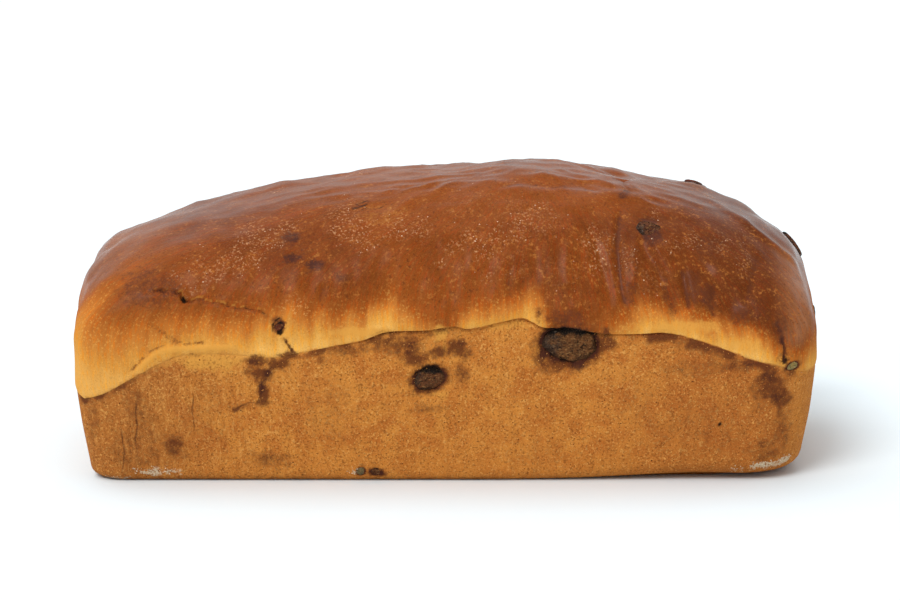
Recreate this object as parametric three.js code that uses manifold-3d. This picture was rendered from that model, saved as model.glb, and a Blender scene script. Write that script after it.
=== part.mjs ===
// A raisin brioche loaf baked in a tin. Sizes are in millimetres, +Z is up, and the origin is under
// the middle of the flat base. The long side at -Y is the front, and +X is its right-hand end.
import * as THREE from "three";
import Module from "manifold-3d";
import { mergeVertices } from "three/addons/utils/BufferGeometryUtils.js";

// The loaf's driving sizes
const halfLength = 123.7; // from the middle to the widest place of either end
const halfDepth = 56.5; // from the middle to the widest place of either long side
const wideHeight = 46; // where the walls stop leaning out and the crown starts to close
const crownTop = 99.4; // the highest place of the crown
const endLean = 4.8; // how far the foot of an end stands in from its widest place
const sideLean = 9.5; // the same for a long side
const footRound = 3.6; // the rounding along the bottom edge, at the left
const footRoundRight = 7; // the bottom edge is rounder at the right
const footLift = { at: [84, -44], rise: 1.7, radius: 30 }; // where it stands off the table
const footLiftFade = 9; // the height over which that runs out
const restShare = 0.72; // the share of the base that is flat
const cornerRound = { frontLeft: 9.5, frontRight: 19, backLeft: 15, backRight: 16 };
const crownRoundness = 2.6; // exponent of the crown's outline seen from above: 2 is an ellipse
const crownBlend = 0.6; // the share of the crown over which the tin's square plan fades out

// The crown's outline, at every 15 degrees of its rise from the widest place to the top
const crownStep = Math.PI / 12;
const leftIn = [0, -0.2, 8.8, 39.6, 82, 125.4, 146]; // how far the left end has drawn in
const rightIn = [0, -0.2, 5.8, 21.8, 48.6, 82, 102];
const depthReach = [56.5, 56.9, 53, 45.5, 33.5, 18, 0];

// The wavy line where the dough left the tin wall: distance round the loaf from the front left
// corner, and height
const tinLine = [
  [0, 29.5], [8, 32], [17, 37], [26, 42], [34, 45.3], [48, 46], [64, 44.6], [72, 46], [84, 48.5],
  [94, 50.5], [102, 54], [116, 55], [124, 56.2], [129, 55.4], [141, 58], [147, 58.7], [153, 56],
  [162, 55.5], [171, 54], [185, 53], [194, 53], [203, 51], [212, 48], [221, 44.3], [230, 41.8],
  [243, 38.5], [258, 40], [275, 46], [295, 50], [315, 49], [332, 44], [347, 38], [360, 40],
  [380, 46], [405, 51], [430, 54], [455, 52], [475, 55], [500, 57], [525, 53], [550, 48],
  [570, 42], [588, 34], [604, 33], [622, 40], [640, 45], [660, 44], [678, 36], [694, 29.5],
];

// How far the crown hangs over that line, along the same distance
const lipReach = [
  [0, 0.3], [60, 0.3], [90, 0.6], [104, 1.5], [150, 1.9], [166, 2.1], [182, 1.2], [204, 0.4],
  [243, 0.3], [300, 0.9], [350, 0.3], [420, 1.3], [480, 1.7], [540, 0.6], [600, 0.3], [640, 0.9],
  [694, 0.3],
];
const lipFade = 9; // the height over which the overhang runs out into the crown
const grooveDepth = 0.7; // the crease under the lip
const grooveWidth = 0.9;

// Upright furrows in the crown's skin: distance round the loaf, height of the middle, depth, half
// width and half height
const furrows = [
  { along: 103, height: 63, depth: 0.8, wide: 4, tall: 9 },
  { along: 148, height: 63, depth: 0.8, wide: 4, tall: 10 },
  { along: 176, height: 74, depth: 1.3, wide: 2.6, tall: 14 },
  { along: 198, height: 70, depth: 1.4, wide: 3.2, tall: 12 },
  { along: 219, height: 66, depth: 1, wide: 4, tall: 12 },
  { along: 292, height: 66, depth: 1.1, wide: 4, tall: 12 },
  { along: 402, height: 68, depth: 1.2, wide: 4, tall: 13 },
  { along: 468, height: 70, depth: 1.3, wide: 3.5, tall: 14 },
  { along: 531, height: 66, depth: 1, wide: 4, tall: 12 },
  { along: 645, height: 62, depth: 1, wide: 5, tall: 11 },
];

// Rises and hollows of the crust: place, height over the surface (less than 0 is a hollow), radius
const swellings = [
  { at: [-56, 12, 92], rise: 1.4, radius: 9 }, // a raisin under the skin, on the skyline
  { at: [59, 6, 96], rise: -2.2, radius: 6 }, // a pinched hollow near the top
  { at: [70, 13, 93], rise: -1.4, radius: 8 },
  { at: [86, 12, 88], rise: 1.5, radius: 7 },
  { at: [100, 11, 83], rise: 1.3, radius: 7 },
  { at: [111, 9, 77], rise: -1.2, radius: 6 },
  { at: [28, -20, 96], rise: 0.9, radius: 13 },
  { at: [4, -24, 95], rise: -0.9, radius: 9 },
  { at: [-51, -44, 77], rise: 1, radius: 8 },
  { at: [71, -44, 80], rise: 1.3, radius: 8 },
  { at: [-86, 30, 80], rise: 1.4, radius: 12 },
  { at: [30, 38, 82], rise: -1.2, radius: 10 },
  { at: [88, 34, 78], rise: 1.3, radius: 11 },
  { at: [-20, 34, 86], rise: 1.4, radius: 12 },
];

// The uneven rise of the crown: height, and how long its waves are along X, Y and Z
const lumps = [
  { rise: 0.5, long: 15, deep: 24, up: 17, shift: -1.7 },
  { rise: 0.45, long: 8.3, deep: 12, up: 11, shift: 0.76 },
];
const lumpFade = 12; // the height over the tin line at which they are full

// Fruit that shows: name, side of the loaf, place across and height on that side, [length, width,
// depth into the loaf], how far the face stands out of the crust, and the turn in degrees
const raisins = [
  ["raisin_front_large", "front", 40.6, 48.9, [19.4, 13.4, 4.8], -0.5, -6],
  ["raisin_front_small", "front", -5.6, 36.9, [11.6, 8.6, 3.6], -0.4, 20],
  ["raisin_front_seam", "front", -54.6, 55.2, [6.2, 4.6, 2.8], -0.2, 62],
  ["raisin_front_crown", "front", 67.2, 84.4, [9.4, 7.4, 3.2], 0.5, -15],
  ["raisin_foot", "front", -23.6, 3.5, [5.2, 2.8, 2.4], 0, -14],
  ["raisin_shoulder", "right", 3, 71, [11, 6, 3.2], 1, 82],
  ["raisin_top_right", "right", 14, 89, [8, 6, 2.8], 0.8, 20],
  ["raisin_right_end_low", "right", 14, 30, [12, 8.5, 3.6], -0.4, 25],
  ["raisin_right_end_seam", "right", -24, 52, [9.5, 7, 3.2], 0.2, -30],
  ["raisin_back_right", "back", 78, 37, [13, 9, 4], -0.4, 18],
  ["raisin_back_middle", "back", 12, 44, [15, 10, 4], -0.5, -12],
  ["raisin_back_left", "back", -66, 28, [11.5, 8.5, 3.6], -0.3, 40],
  ["raisin_back_crown", "back", -34, 80, [10.5, 8, 3.2], 0.6, 25],
  ["raisin_left_end", "left", -6, 24, [12, 9, 3.6], -0.4, -20],
];
const peels = [
  ["peel_corner", "front", 114.2, 41.2, [4.8, 3.2, 2.1], 0.1, 12],
  ["peel_foot", "front", -28.6, 3.7, [3.4, 3, 1.9], 0.2, 50],
];
const pocketGap = 0.35; // the space between a fruit and the bread round it
const pocketOpening = 3; // how far a pocket's cutter reaches out past the fruit's face
const fruitSplits = 2; // how finely a fruit's sphere is split
const wrinkleDepth = 0.07; // as a share of a fruit's radius
const skinBulge = 0.4; // how far the middle of a fruit's face stands over its border
const bulgeShare = 0.07; // and this share of its length more

// Tears in the skin of the front: places across and heights, half height and depth in the middle
const tears = [
  {
    path: [[-105, 66.1], [-97.4, 65.9], [-92.2, 65.3], [-87.6, 62.9], [-83.3, 63.9], [-76, 62.4],
      [-69.4, 61.1], [-62, 60.2], [-55, 58.3]],
    open: 0.9,
    deep: 2,
  },
  { path: [[-53.6, 51.6], [-52.4, 48.2], [-49.4, 44.8]], open: 0.9, deep: 1.8 },
];
const tearEndShare = 0.15; // how wide a tear is at its ends, as a share of its middle
const tearRim = 0.5; // how far the cutter reaches out of the crust

// How finely the loaf is cut into faces
const columnsLong = 46;
const columnsShort = 22;
const wallShares = [0.25, 0.5, 0.72, 0.9];
const footHeights = [0, 0.12, 0.42, 1]; // as shares of the foot's rounding
const tinSteps = [-0.9, 0, 0.9, 2.8]; // heights beside the tin line
const crownRows = 7;
const capShare = 0.56; // the crown's share of rise below the cap's border
const slopeStep = 0.004; // the step used to find the crust's outward direction
const halvings = 30; // how often the search for a place across is halved

const bread = new THREE.MeshStandardMaterial({ color: 0xb06a33, roughness: 0.62 });
const fruit = new THREE.MeshStandardMaterial({ color: 0x40271a, roughness: 0.45 });
const candied = new THREE.MeshStandardMaterial({ color: 0x6f7a35, roughness: 0.4 });

function smooth(t) {
  const c = Math.min(Math.max(t, 0), 1);
  return c * c * (3 - 2 * c);
}

function mix(a, b, t) {
  return a + (b - a) * t;
}

function bell(t) {
  return Math.exp(-t * t);
}

// A smooth curve through points [x, y], read at x
function curveAt(points, x) {
  const last = points.length - 1;
  let i = 0;
  while (i < last - 1 && x >= points[i + 1][0]) i += 1;
  const slope = (k) => {
    const a = points[Math.max(k - 1, 0)];
    const b = points[Math.min(k + 1, last)];
    return (b[1] - a[1]) / (b[0] - a[0]);
  };
  const [x0, y0] = points[i];
  const [x1, y1] = points[i + 1];
  const h = x1 - x0;
  const t = (x - x0) / h;
  const t2 = t * t;
  const t3 = t2 * t;
  return (2 * t3 - 3 * t2 + 1) * y0 + (t3 - 2 * t2 + t) * h * slope(i)
    + (3 * t2 - 2 * t3) * y1 + (t3 - t2) * h * slope(i + 1);
}

function crownCurve(values, angle) {
  return curveAt(values.map((value, i) => [i * crownStep, value]), angle);
}

// The bare loaf. level runs from 0 at the base over 1 at the widest place to 2 at the crown's top,
// and (px, py) is a place on the border of a square from -1 to 1.
function bodyPoint(level, px, py) {
  const wall = Math.min(level, 1);
  const angle = Math.max(level - 1, 0) * Math.PI / 2;
  const lean = 1 - wall;
  const foot = mix(footRound, footRoundRight, smooth(px));
  const up = Math.min(wideHeight * wall, foot);
  const footIn = foot - Math.sqrt(foot * foot - (foot - up) * (foot - up));
  const wallEnd = halfLength - endLean * lean ** 1.6 - footIn;
  const wallSide = halfDepth - sideLean * lean ** 1.25 - footIn;
  const left = level > 1 ? halfLength - crownCurve(leftIn, angle) : wallEnd;
  const right = level > 1 ? halfLength - crownCurve(rightIn, angle) : wallEnd;
  const b = level > 1 ? Math.max(crownCurve(depthReach, angle), 0) : wallSide;
  const a = Math.max((left + right) / 2, 0);
  const middle = (right - left) / 2;

  const front = py < 0;
  const corner = px < 0
    ? (front ? cornerRound.frontLeft : cornerRound.backLeft)
    : (front ? cornerRound.frontRight : cornerRound.backRight);
  const r = Math.min(corner, a, b);
  const innerX = Math.min(Math.max(a * px, r - a), a - r);
  const innerY = Math.min(Math.max(b * py, r - b), b - r);
  const outX = a * px - innerX;
  const outY = b * py - innerY;
  const out = Math.hypot(outX, outY) || 1;

  const shrink = (Math.abs(px) ** crownRoundness + Math.abs(py) ** crownRoundness) ** (-1 / crownRoundness);
  const blend = smooth((level - 1) / crownBlend);
  const x = mix(innerX + r * outX / out, a * px * shrink, blend);
  const y = mix(innerY + r * outY / out, b * py * shrink, blend);
  const z = level > 1 ? wideHeight + (crownTop - wideHeight) * Math.sin(angle) : wideHeight * wall;
  const lift = footLift.rise * bell(Math.hypot(x - footLift.at[0], y - footLift.at[1]) / footLift.radius);
  return new THREE.Vector3(middle + x, y, z + lift * bell(z / footLiftFade));
}

function levelOfHeight(z) {
  if (z <= wideHeight) return z / wideHeight;
  return 1 + Math.asin(Math.min((z - wideHeight) / (crownTop - wideHeight), 1)) / (Math.PI / 2);
}

// Places on the border of the square, round from the front left corner
function squareBorder() {
  const places = [];
  for (let i = 0; i < columnsLong; i += 1) places.push([-1 + 2 * i / columnsLong, -1]);
  for (let i = 0; i < columnsShort; i += 1) places.push([1, -1 + 2 * i / columnsShort]);
  for (let i = 0; i < columnsLong; i += 1) places.push([1 - 2 * i / columnsLong, 1]);
  for (let i = 0; i < columnsShort; i += 1) places.push([-1, 1 - 2 * i / columnsShort]);
  return places;
}

const border = squareBorder();

// The distance round the widest loop at each place of the border
function distancesRound() {
  const loop = border.map(([px, py]) => bodyPoint(1, px, py));
  let sum = 0;
  return loop.map((p, i) => {
    if (i > 0) sum += p.distanceTo(loop[i - 1]);
    return sum;
  });
}

const around = distancesRound();

// The number of a place on the border, with its fraction between two columns
function columnOf(px, py) {
  if (py === -1) return (1 + px) / 2 * columnsLong;
  if (px === 1) return columnsLong + (1 + py) / 2 * columnsShort;
  if (py === 1) return columnsLong + columnsShort + (1 - px) / 2 * columnsLong;
  return 2 * columnsLong + columnsShort + (1 - py) / 2 * columnsShort;
}

// The distance round the loaf of any place on the border
function alongOf(px, py) {
  const column = columnOf(px, py);
  const i = Math.floor(column) % border.length;
  const next = i + 1 < border.length ? around[i + 1] : tinLine[tinLine.length - 1][0];
  return mix(around[i], next, column - Math.floor(column));
}

// How far the crust stands out of the bare loaf
function relief(p, along) {
  const overTin = p.z - curveAt(tinLine, along);
  const lip = curveAt(lipReach, along);
  const onCrown = smooth(overTin / lumpFade);
  let out = overTin > 0 ? lip * bell(overTin / lipFade) : 0;
  for (const w of lumps) {
    out += w.rise * onCrown * Math.sin(p.x / w.long + w.shift) * Math.cos(p.y / w.deep + p.z / w.up);
  }
  out -= Math.min(lip, 1) * grooveDepth * bell(overTin / grooveWidth);
  for (const f of furrows) {
    out -= f.depth * bell((along - f.along) / f.wide) * bell((p.z - f.height) / f.tall);
  }
  for (const s of swellings) {
    out += s.rise * bell(p.distanceTo(new THREE.Vector3(...s.at)) / s.radius);
  }
  return out * smooth(p.z / footRound);
}

// The outward direction of the bare loaf
function outwardAt(level, px, py) {
  const low = bodyPoint(Math.max(level - slopeStep, 0), px, py);
  const high = bodyPoint(Math.min(level + slopeStep, 2 - slopeStep), px, py);
  const onLongSide = Math.abs(py) === 1 && Math.abs(px) < 1;
  const [stepX, stepY] = onLongSide ? [-slopeStep * py, 0] : [0, slopeStep * px];
  const before = bodyPoint(level, px - stepX, py - stepY);
  const after = bodyPoint(level, px + stepX, py + stepY);
  return after.sub(before).cross(high.sub(low)).normalize();
}

function crustPoint(level, px, py) {
  const p = bodyPoint(level, px, py);
  const out = outwardAt(level, px, py);
  return p.addScaledVector(out, relief(p, alongOf(px, py)));
}

// The place on one side of the loaf at a given height, and its outward direction
function placeOn(side, across, height) {
  const level = levelOfHeight(height);
  const long = side === "front" || side === "back";
  const fixed = side === "front" || side === "left" ? -1 : 1;
  const borderPlace = (t) => (long ? [t, fixed] : [fixed, t]);
  let low = -1;
  let high = 1;
  for (let i = 0; i < halvings; i += 1) {
    const t = (low + high) / 2;
    const p = bodyPoint(level, ...borderPlace(t));
    if ((long ? p.x : p.y) < across) low = t;
    else high = t;
  }
  const [px, py] = borderPlace((low + high) / 2);
  return { point: crustPoint(level, px, py), out: outwardAt(level, px, py) };
}

// The level of each row of the wall and lower crown, in one column
function rowLevels(px, along) {
  const foot = mix(footRound, footRoundRight, smooth(px));
  const tin = curveAt(tinLine, along);
  const heights = footHeights.map((share) => share * foot);
  for (const share of wallShares) heights.push(mix(foot, tin, share));
  for (const step of tinSteps) heights.push(tin + step);
  const levels = heights.map(levelOfHeight);
  const first = levels[levels.length - 1];
  const last = 1 + capShare;
  for (let i = 1; i <= crownRows; i += 1) levels.push(mix(first, last, i / crownRows));
  return levels;
}

function loafGeometry() {
  const points = [];
  const faces = [];
  const columns = border.length;
  const quad = (a, b, c, d) => faces.push(a, b, c, a, c, d);

  const levels = border.map(([px], k) => rowLevels(px, around[k]));
  const rows = levels[0].length;
  for (let row = 0; row < rows; row += 1) {
    border.forEach(([px, py], k) => points.push(crustPoint(levels[k][row], px, py)));
  }
  for (let row = 0; row + 1 < rows; row += 1) {
    for (let k = 0; k < columns; k += 1) {
      const next = (k + 1) % columns;
      quad(row * columns + k, row * columns + next, (row + 1) * columns + next, (row + 1) * columns + k);
    }
  }

  // The cap is a grid whose border is the last row
  const grid = [];
  for (let j = 0; j <= columnsShort; j += 1) {
    grid.push([]);
    for (let i = 0; i <= columnsLong; i += 1) {
      const gx = -1 + 2 * i / columnsLong;
      const gy = -1 + 2 * j / columnsShort;
      const ring = Math.max(Math.abs(gx), Math.abs(gy));
      if (ring === 1) {
        grid[j].push((rows - 1) * columns + Math.round(columnOf(gx, gy)) % columns);
        continue;
      }
      const level = mix(2, 1 + capShare, ring);
      points.push(ring === 0 ? topPoint() : crustPoint(level, gx / ring, gy / ring));
      grid[j].push(points.length - 1);
    }
  }
  for (let j = 0; j < columnsShort; j += 1) {
    for (let i = 0; i < columnsLong; i += 1) {
      quad(grid[j][i], grid[j][i + 1], grid[j + 1][i + 1], grid[j + 1][i]);
    }
  }

  // The base rests on its flat inner part, a fan round its middle
  const inner = points.length;
  for (let k = 0; k < columns; k += 1) {
    points.push(new THREE.Vector3(points[k].x * restShare, points[k].y * restShare, 0));
  }
  points.push(new THREE.Vector3(0, 0, 0));
  for (let k = 0; k < columns; k += 1) {
    const next = (k + 1) % columns;
    quad(k, inner + k, inner + next, next);
    faces.push(inner + k, inner + columns, inner + next);
  }
  return meshOf(points, faces);
}

function topPoint() {
  const p = bodyPoint(2, 1, 0);
  return p.setZ(p.z + relief(p, alongOf(1, 0)));
}

function meshOf(points, faces) {
  const geometry = new THREE.BufferGeometry();
  const numbers = points.flatMap((p) => [p.x, p.y, p.z]);
  geometry.setAttribute("position", new THREE.Float32BufferAttribute(numbers, 3));
  geometry.setIndex(faces);
  return geometry;
}

function faceBulge(long) {
  return skinBulge + long * bulgeShare;
}

// A shrivelled fruit lying on the crust: x and y are along its face, z is outward. grow widens it
// all round, and face is how far its outer side reaches from its widest place.
function fruitGeometry([long, wide, deep], proud, turn, grow, face) {
  const ball = new THREE.IcosahedronGeometry(1, fruitSplits);
  const sphere = mergeVertices(ball.deleteAttribute("normal").deleteAttribute("uv"));
  const position = sphere.getAttribute("position");
  const angle = THREE.MathUtils.degToRad(turn);
  const seat = proud - faceBulge(long);
  for (let i = 0; i < position.count; i += 1) {
    const p = new THREE.Vector3().fromBufferAttribute(position, i);
    const bearing = Math.atan2(p.y, p.x);
    const folds = 0.6 * Math.sin(bearing * 3 + p.z * 3 + long) + 0.4 * Math.sin(bearing * 7 + wide);
    const wrinkle = 1 - wrinkleDepth * (1 + folds);
    const x = p.x * (long / 2 * wrinkle + grow);
    const y = p.y * (wide / 2 * wrinkle + grow);
    const z = p.z * (p.z > 0 ? face : deep + grow) + seat;
    position.setXYZ(i, x, y, z);
  }
  return sphere.rotateZ(angle);
}

// Turns a geometry's outward z onto the crust at one place of the loaf
function setOnCrust(geometry, side, across, height) {
  const { point, out } = placeOn(side, across, height);
  const rightward = new THREE.Vector3(0, 0, 1).cross(out).normalize();
  const upward = out.clone().cross(rightward);
  const frame = new THREE.Matrix4().makeBasis(rightward, upward, out).setPosition(point);
  return geometry.applyMatrix4(frame);
}

// A wedge along a tear, wide outside the crust and sharp inside it
function tearGeometry({ path, open, deep }) {
  const spots = path.map(([across, height]) => placeOn("front", across, height));
  const points = [];
  const faces = [];
  spots.forEach(({ point, out }, i) => {
    const before = spots[Math.max(i - 1, 0)].point;
    const after = spots[Math.min(i + 1, spots.length - 1)].point;
    const along = after.clone().sub(before).normalize();
    const side = out.clone().cross(along).normalize();
    const width = mix(tearEndShare, 1, Math.sin(Math.PI * i / (spots.length - 1)));
    const rim = point.clone().addScaledVector(out, tearRim);
    points.push(rim.clone().addScaledVector(side, open * width));
    points.push(rim.clone().addScaledVector(side, -open * width));
    points.push(point.clone().addScaledVector(out, -deep * width));
  });
  for (let i = 0; i + 1 < spots.length; i += 1) {
    for (let k = 0; k < 3; k += 1) {
      const a = 3 * i + k;
      const b = 3 * i + (k + 1) % 3;
      faces.push(a, b, b + 3, a, b + 3, a + 3);
    }
  }
  const last = 3 * (spots.length - 1);
  faces.push(0, 2, 1, last, last + 1, last + 2);
  return meshOf(points, faces);
}

const wasm = await Module();
wasm.setup();

function solidOf(geometry) {
  const merged = mergeVertices(geometry, 1e-3);
  return new wasm.Manifold(new wasm.Mesh({
    numProp: 3,
    vertProperties: merged.getAttribute("position").array,
    triVerts: new Uint32Array(merged.index.array),
  }));
}

function geometryOf(solid) {
  const { vertProperties, triVerts } = solid.getMesh();
  const geometry = new THREE.BufferGeometry();
  geometry.setAttribute("position", new THREE.BufferAttribute(vertProperties, 3));
  geometry.setIndex(new THREE.BufferAttribute(triVerts, 1));
  return geometry;
}

function named(name, geometry, material) {
  const mesh = new THREE.Mesh(geometry, material);
  mesh.name = name;
  return mesh;
}

const loaf = new THREE.Group();
let crumb = solidOf(loafGeometry());

function addFruit([name, side, across, height, size, proud, turn], material) {
  const face = faceBulge(size[0]);
  const body = fruitGeometry(size, proud, turn, 0, face);
  const pocket = fruitGeometry(size, proud, turn, pocketGap, face + pocketOpening);
  crumb = crumb.subtract(solidOf(setOnCrust(pocket, side, across, height)));
  loaf.add(named(name, setOnCrust(body, side, across, height), material));
}

for (const tear of tears) crumb = crumb.subtract(solidOf(tearGeometry(tear)));
for (const piece of raisins) addFruit(piece, fruit);
for (const piece of peels) addFruit(piece, candied);
loaf.add(named("loaf", geometryOf(crumb), bread));

export default loaf;
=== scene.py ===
# A raisin brioche loaf that was baked in a tin, on a pale floor. Shapes are worked out in
# millimetres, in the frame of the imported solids, and turned to metres when a mesh is made.
import math
from collections import namedtuple

import bpy
import numpy as np
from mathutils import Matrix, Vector, noise


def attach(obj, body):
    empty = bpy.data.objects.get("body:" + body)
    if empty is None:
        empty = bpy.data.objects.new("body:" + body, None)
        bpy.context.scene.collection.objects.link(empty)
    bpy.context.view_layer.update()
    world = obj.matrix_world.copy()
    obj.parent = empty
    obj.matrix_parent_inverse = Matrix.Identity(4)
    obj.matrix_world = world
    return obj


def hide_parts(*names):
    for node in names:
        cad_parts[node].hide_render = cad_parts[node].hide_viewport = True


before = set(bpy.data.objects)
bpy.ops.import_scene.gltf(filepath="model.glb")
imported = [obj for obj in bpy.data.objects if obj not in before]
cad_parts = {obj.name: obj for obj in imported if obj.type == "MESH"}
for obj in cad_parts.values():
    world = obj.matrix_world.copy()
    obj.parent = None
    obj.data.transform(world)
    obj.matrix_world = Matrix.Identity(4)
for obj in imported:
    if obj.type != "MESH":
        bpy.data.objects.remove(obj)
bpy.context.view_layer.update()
mm = 0.001
print("frame loaded with", len(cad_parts), "nodes")

# The loaf's own form, with the same values as its solid
loafForm = {
    "halfLength": 123.7,
    "halfDepth": 56.5,
    "wideHeight": 46.0,  # where the walls stop leaning out and the crown starts to close
    "crownTop": 99.4,
    "endLean": 4.8,
    "sideLean": 9.5,
    "footRound": 3.6,
    "footRoundRight": 7.0,
    "footLiftAt": (84, -44),
    "footLift": 1.7,
    "footLiftRadius": 30,
    "footLiftFade": 9,
    "restShare": 0.72,
    "corners": {"frontLeft": 9.5, "frontRight": 19, "backLeft": 15, "backRight": 16},
    "crownRoundness": 2.6,
    "crownBlend": 0.6,
    "leftIn": [0, -0.2, 8.8, 39.6, 82, 125.4, 146],
    "rightIn": [0, -0.2, 5.8, 21.8, 48.6, 82, 102],
    "depthReach": [56.5, 56.9, 53, 45.5, 33.5, 18, 0],
    "lipFade": 9,
    "grooveDepth": 0.7,
    "grooveWidth": 0.9,
    "lumpFade": 12,
}
# How finely its surface is divided
loafMesh = {
    "columns": (288, 112),  # faces along a long and a short side
    "wallRows": 25,
    "skinRows": 15,
    "crownRows": 26,
    "lastLevel": 1.56,  # where the rows end, on a scale with 1 at the widest place and 2 at the top
    "capLevel": 1.575,
    "tinSteps": (-4.5, -3.4, -2.4, -1.6, -1, -0.6, -0.3, -0.1, 0.1, 0.3, 0.6, 1, 1.5, 2.1, 2.8, 3.6, 4.5),
    "skinSteps": (-2.2, -1.4, -0.8, -0.4, -0.15, 0.05, 0.25, 0.55, 1, 1.6, 2.4),
    "footShares": (0, 0.05, 0.14, 0.28, 0.48, 0.72, 1),
}

# The wavy line where the dough left the tin: distance round the loaf from the front left corner,
# and height. On the front the distance is about x + 120.
tinLine = [
    (0, 29.5), (8, 32), (17, 37), (26, 42), (34, 45.3), (48, 46), (64, 44.6), (72, 46), (84, 48.5),
    (94, 50.5), (102, 54), (116, 55), (124, 56.2), (129, 55.4), (141, 58), (147, 58.7), (153, 56),
    (162, 55.5), (171, 54), (185, 53), (194, 53), (203, 51), (212, 48), (221, 44.3), (230, 41.8),
    (243, 38.5), (258, 40), (275, 46), (295, 50), (315, 49), (332, 44), (347, 38), (360, 40), (380, 46),
    (405, 51), (430, 54), (455, 52), (475, 55), (500, 57), (525, 53), (550, 48), (570, 42), (588, 34),
    (604, 33), (622, 40), (640, 45), (660, 44), (678, 36), (694, 29.5),
]
loopLength = tinLine[-1][0]

# How far the crown hangs over that line
lipReach = [
    (0, 0.3), (60, 0.3), (90, 0.6), (104, 1.5), (150, 1.9), (166, 2.1), (182, 1.2), (204, 0.4),
    (243, 0.3), (300, 0.9), (350, 0.3), (420, 1.3), (480, 1.7), (540, 0.6), (600, 0.3), (640, 0.9),
    (694, 0.3),
]

# The tear where the stretched skin split, carried on round the loaf as a mere row of the mesh
skinLine = [
    (0, 66.4), (15, 66.1), (22, 65.9), (28, 65.3), (30, 63.9), (32.4, 62.9), (36.7, 63.9), (40, 63),
    (46, 62), (50.6, 61.1), (55.7, 60.5), (60, 59.8), (65, 58.4), (72, 60), (84, 63), (100, 66),
    (128, 68), (147, 70), (165, 68), (200, 65), (243, 58), (300, 63), (347, 55), (400, 64), (500, 69),
    (588, 56), (640, 62), (694, 66.4),
]
tearFrom, tearTo, tearWidest = 13.0, 66.0, 31.0

# Where the brown crust turns to the yellow of the stretched dough, and over what height
crustLine = [
    (0, 56), (5, 50.5), (12, 49), (20, 50.5), (29, 52.5), (39, 53), (49, 53), (59, 55), (69, 57.5),
    (78, 57), (88, 56.3), (97, 58.5), (102, 62.5), (107, 59), (111, 57), (116, 54), (121, 51), (126, 56),
    (131, 59.5), (140, 60.5), (147, 62), (152, 62.5), (157, 53), (165, 46), (171, 49), (176, 54.5),
    (183, 57.2), (190, 59), (197, 58.6), (203, 57.4), (208, 56), (213, 54), (218, 52.5), (223, 51),
    (228, 48), (232, 44.5), (238, 42), (243, 43.5), (250, 48), (258, 52), (295, 60), (347, 50), (380, 54),
    (430, 62), (500, 64), (550, 55), (588, 46), (604, 46), (640, 55), (678, 52), (688, 57), (694, 56),
]
crustSoft = [
    (0, 9.5), (8, 7.5), (28, 6.2), (44, 5.4), (90, 4.2), (150, 4), (190, 4), (232, 4), (243, 6), (270, 7),
    (347, 9), (400, 5), (500, 5), (588, 10), (640, 6.5), (680, 8), (694, 9.5),
]

# How dark the baked-on band just under the tin line is
bandPower = [
    (0, 0.8), (12, 0.6), (22, 0.35), (31, 0.1), (40, 0), (60, 0), (68, 0.3), (74, 0.7), (92, 0.6),
    (102, 0.7), (120, 0.6), (127, 0.3), (133, 0), (176, 0), (184, 0.5), (190, 0.85), (222, 0.85),
    (232, 0.6), (243, 0.1), (290, 0.2), (320, 0.8), (347, 0.3), (390, 0.1), (420, 0.8), (470, 0.6),
    (500, 0), (540, 0.7), (580, 0.8), (604, 0.2), (650, 0.7), (680, 0.3), (694, 0.8),
]
# and how high it is
bandHeight = [
    (0, 2.4), (30, 2.4), (70, 2.6), (110, 3.4), (185, 3.2), (205, 4.4), (228, 3.4), (320, 3), (420, 3.5),
    (560, 3), (694, 2.4),
]

# How softly the wall passes into the band, in millimetres
seamSoft = [
    (0, 0.9), (20, 1.2), (30, 2.4), (44, 3.2), (62, 2.6), (74, 0.9), (100, 0.7), (225, 0.6), (233, 1.6),
    (260, 1.5), (300, 0.7), (340, 2), (400, 1), (580, 0.8), (620, 2), (660, 1), (694, 0.9),
]

# Upright furrows in the crown: distance round, middle height, depth, half width and half height
furrows = [
    (103, 63, 0.8, 4, 9), (148, 63, 0.8, 4, 10), (176, 74, 1.3, 2.6, 14), (198, 70, 1.4, 3.2, 12),
    (219, 66, 1, 4, 12), (292, 66, 1.1, 4, 12), (402, 68, 1.2, 4, 13), (468, 70, 1.3, 3.5, 14),
    (531, 66, 1, 4, 12), (645, 62, 1, 5, 11),
]

# Rises and hollows: place, height and radius
swellings = [
    ((-56, 12, 92), 1.4, 9), ((59, 6, 96), -2.2, 6), ((70, 13, 93), -1.4, 8), ((86, 12, 88), 1.5, 7),
    ((100, 11, 83), 1.3, 7), ((111, 9, 77), -1.2, 6), ((28, -20, 96), 0.9, 13),
    ((4, -24, 95), -0.9, 9), ((-51, -44, 77), 1, 8), ((71, -44, 80), 1.3, 8),
    ((-86, 30, 80), 1.4, 12), ((30, 38, 82), -1.2, 10), ((88, 34, 78), 1.3, 11),
    ((-20, 34, 86), 1.4, 12),
]
lumps = [(0.5, 15, 24, 17, -1.7), (0.45, 8.3, 12, 11, 0.76)]

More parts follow.
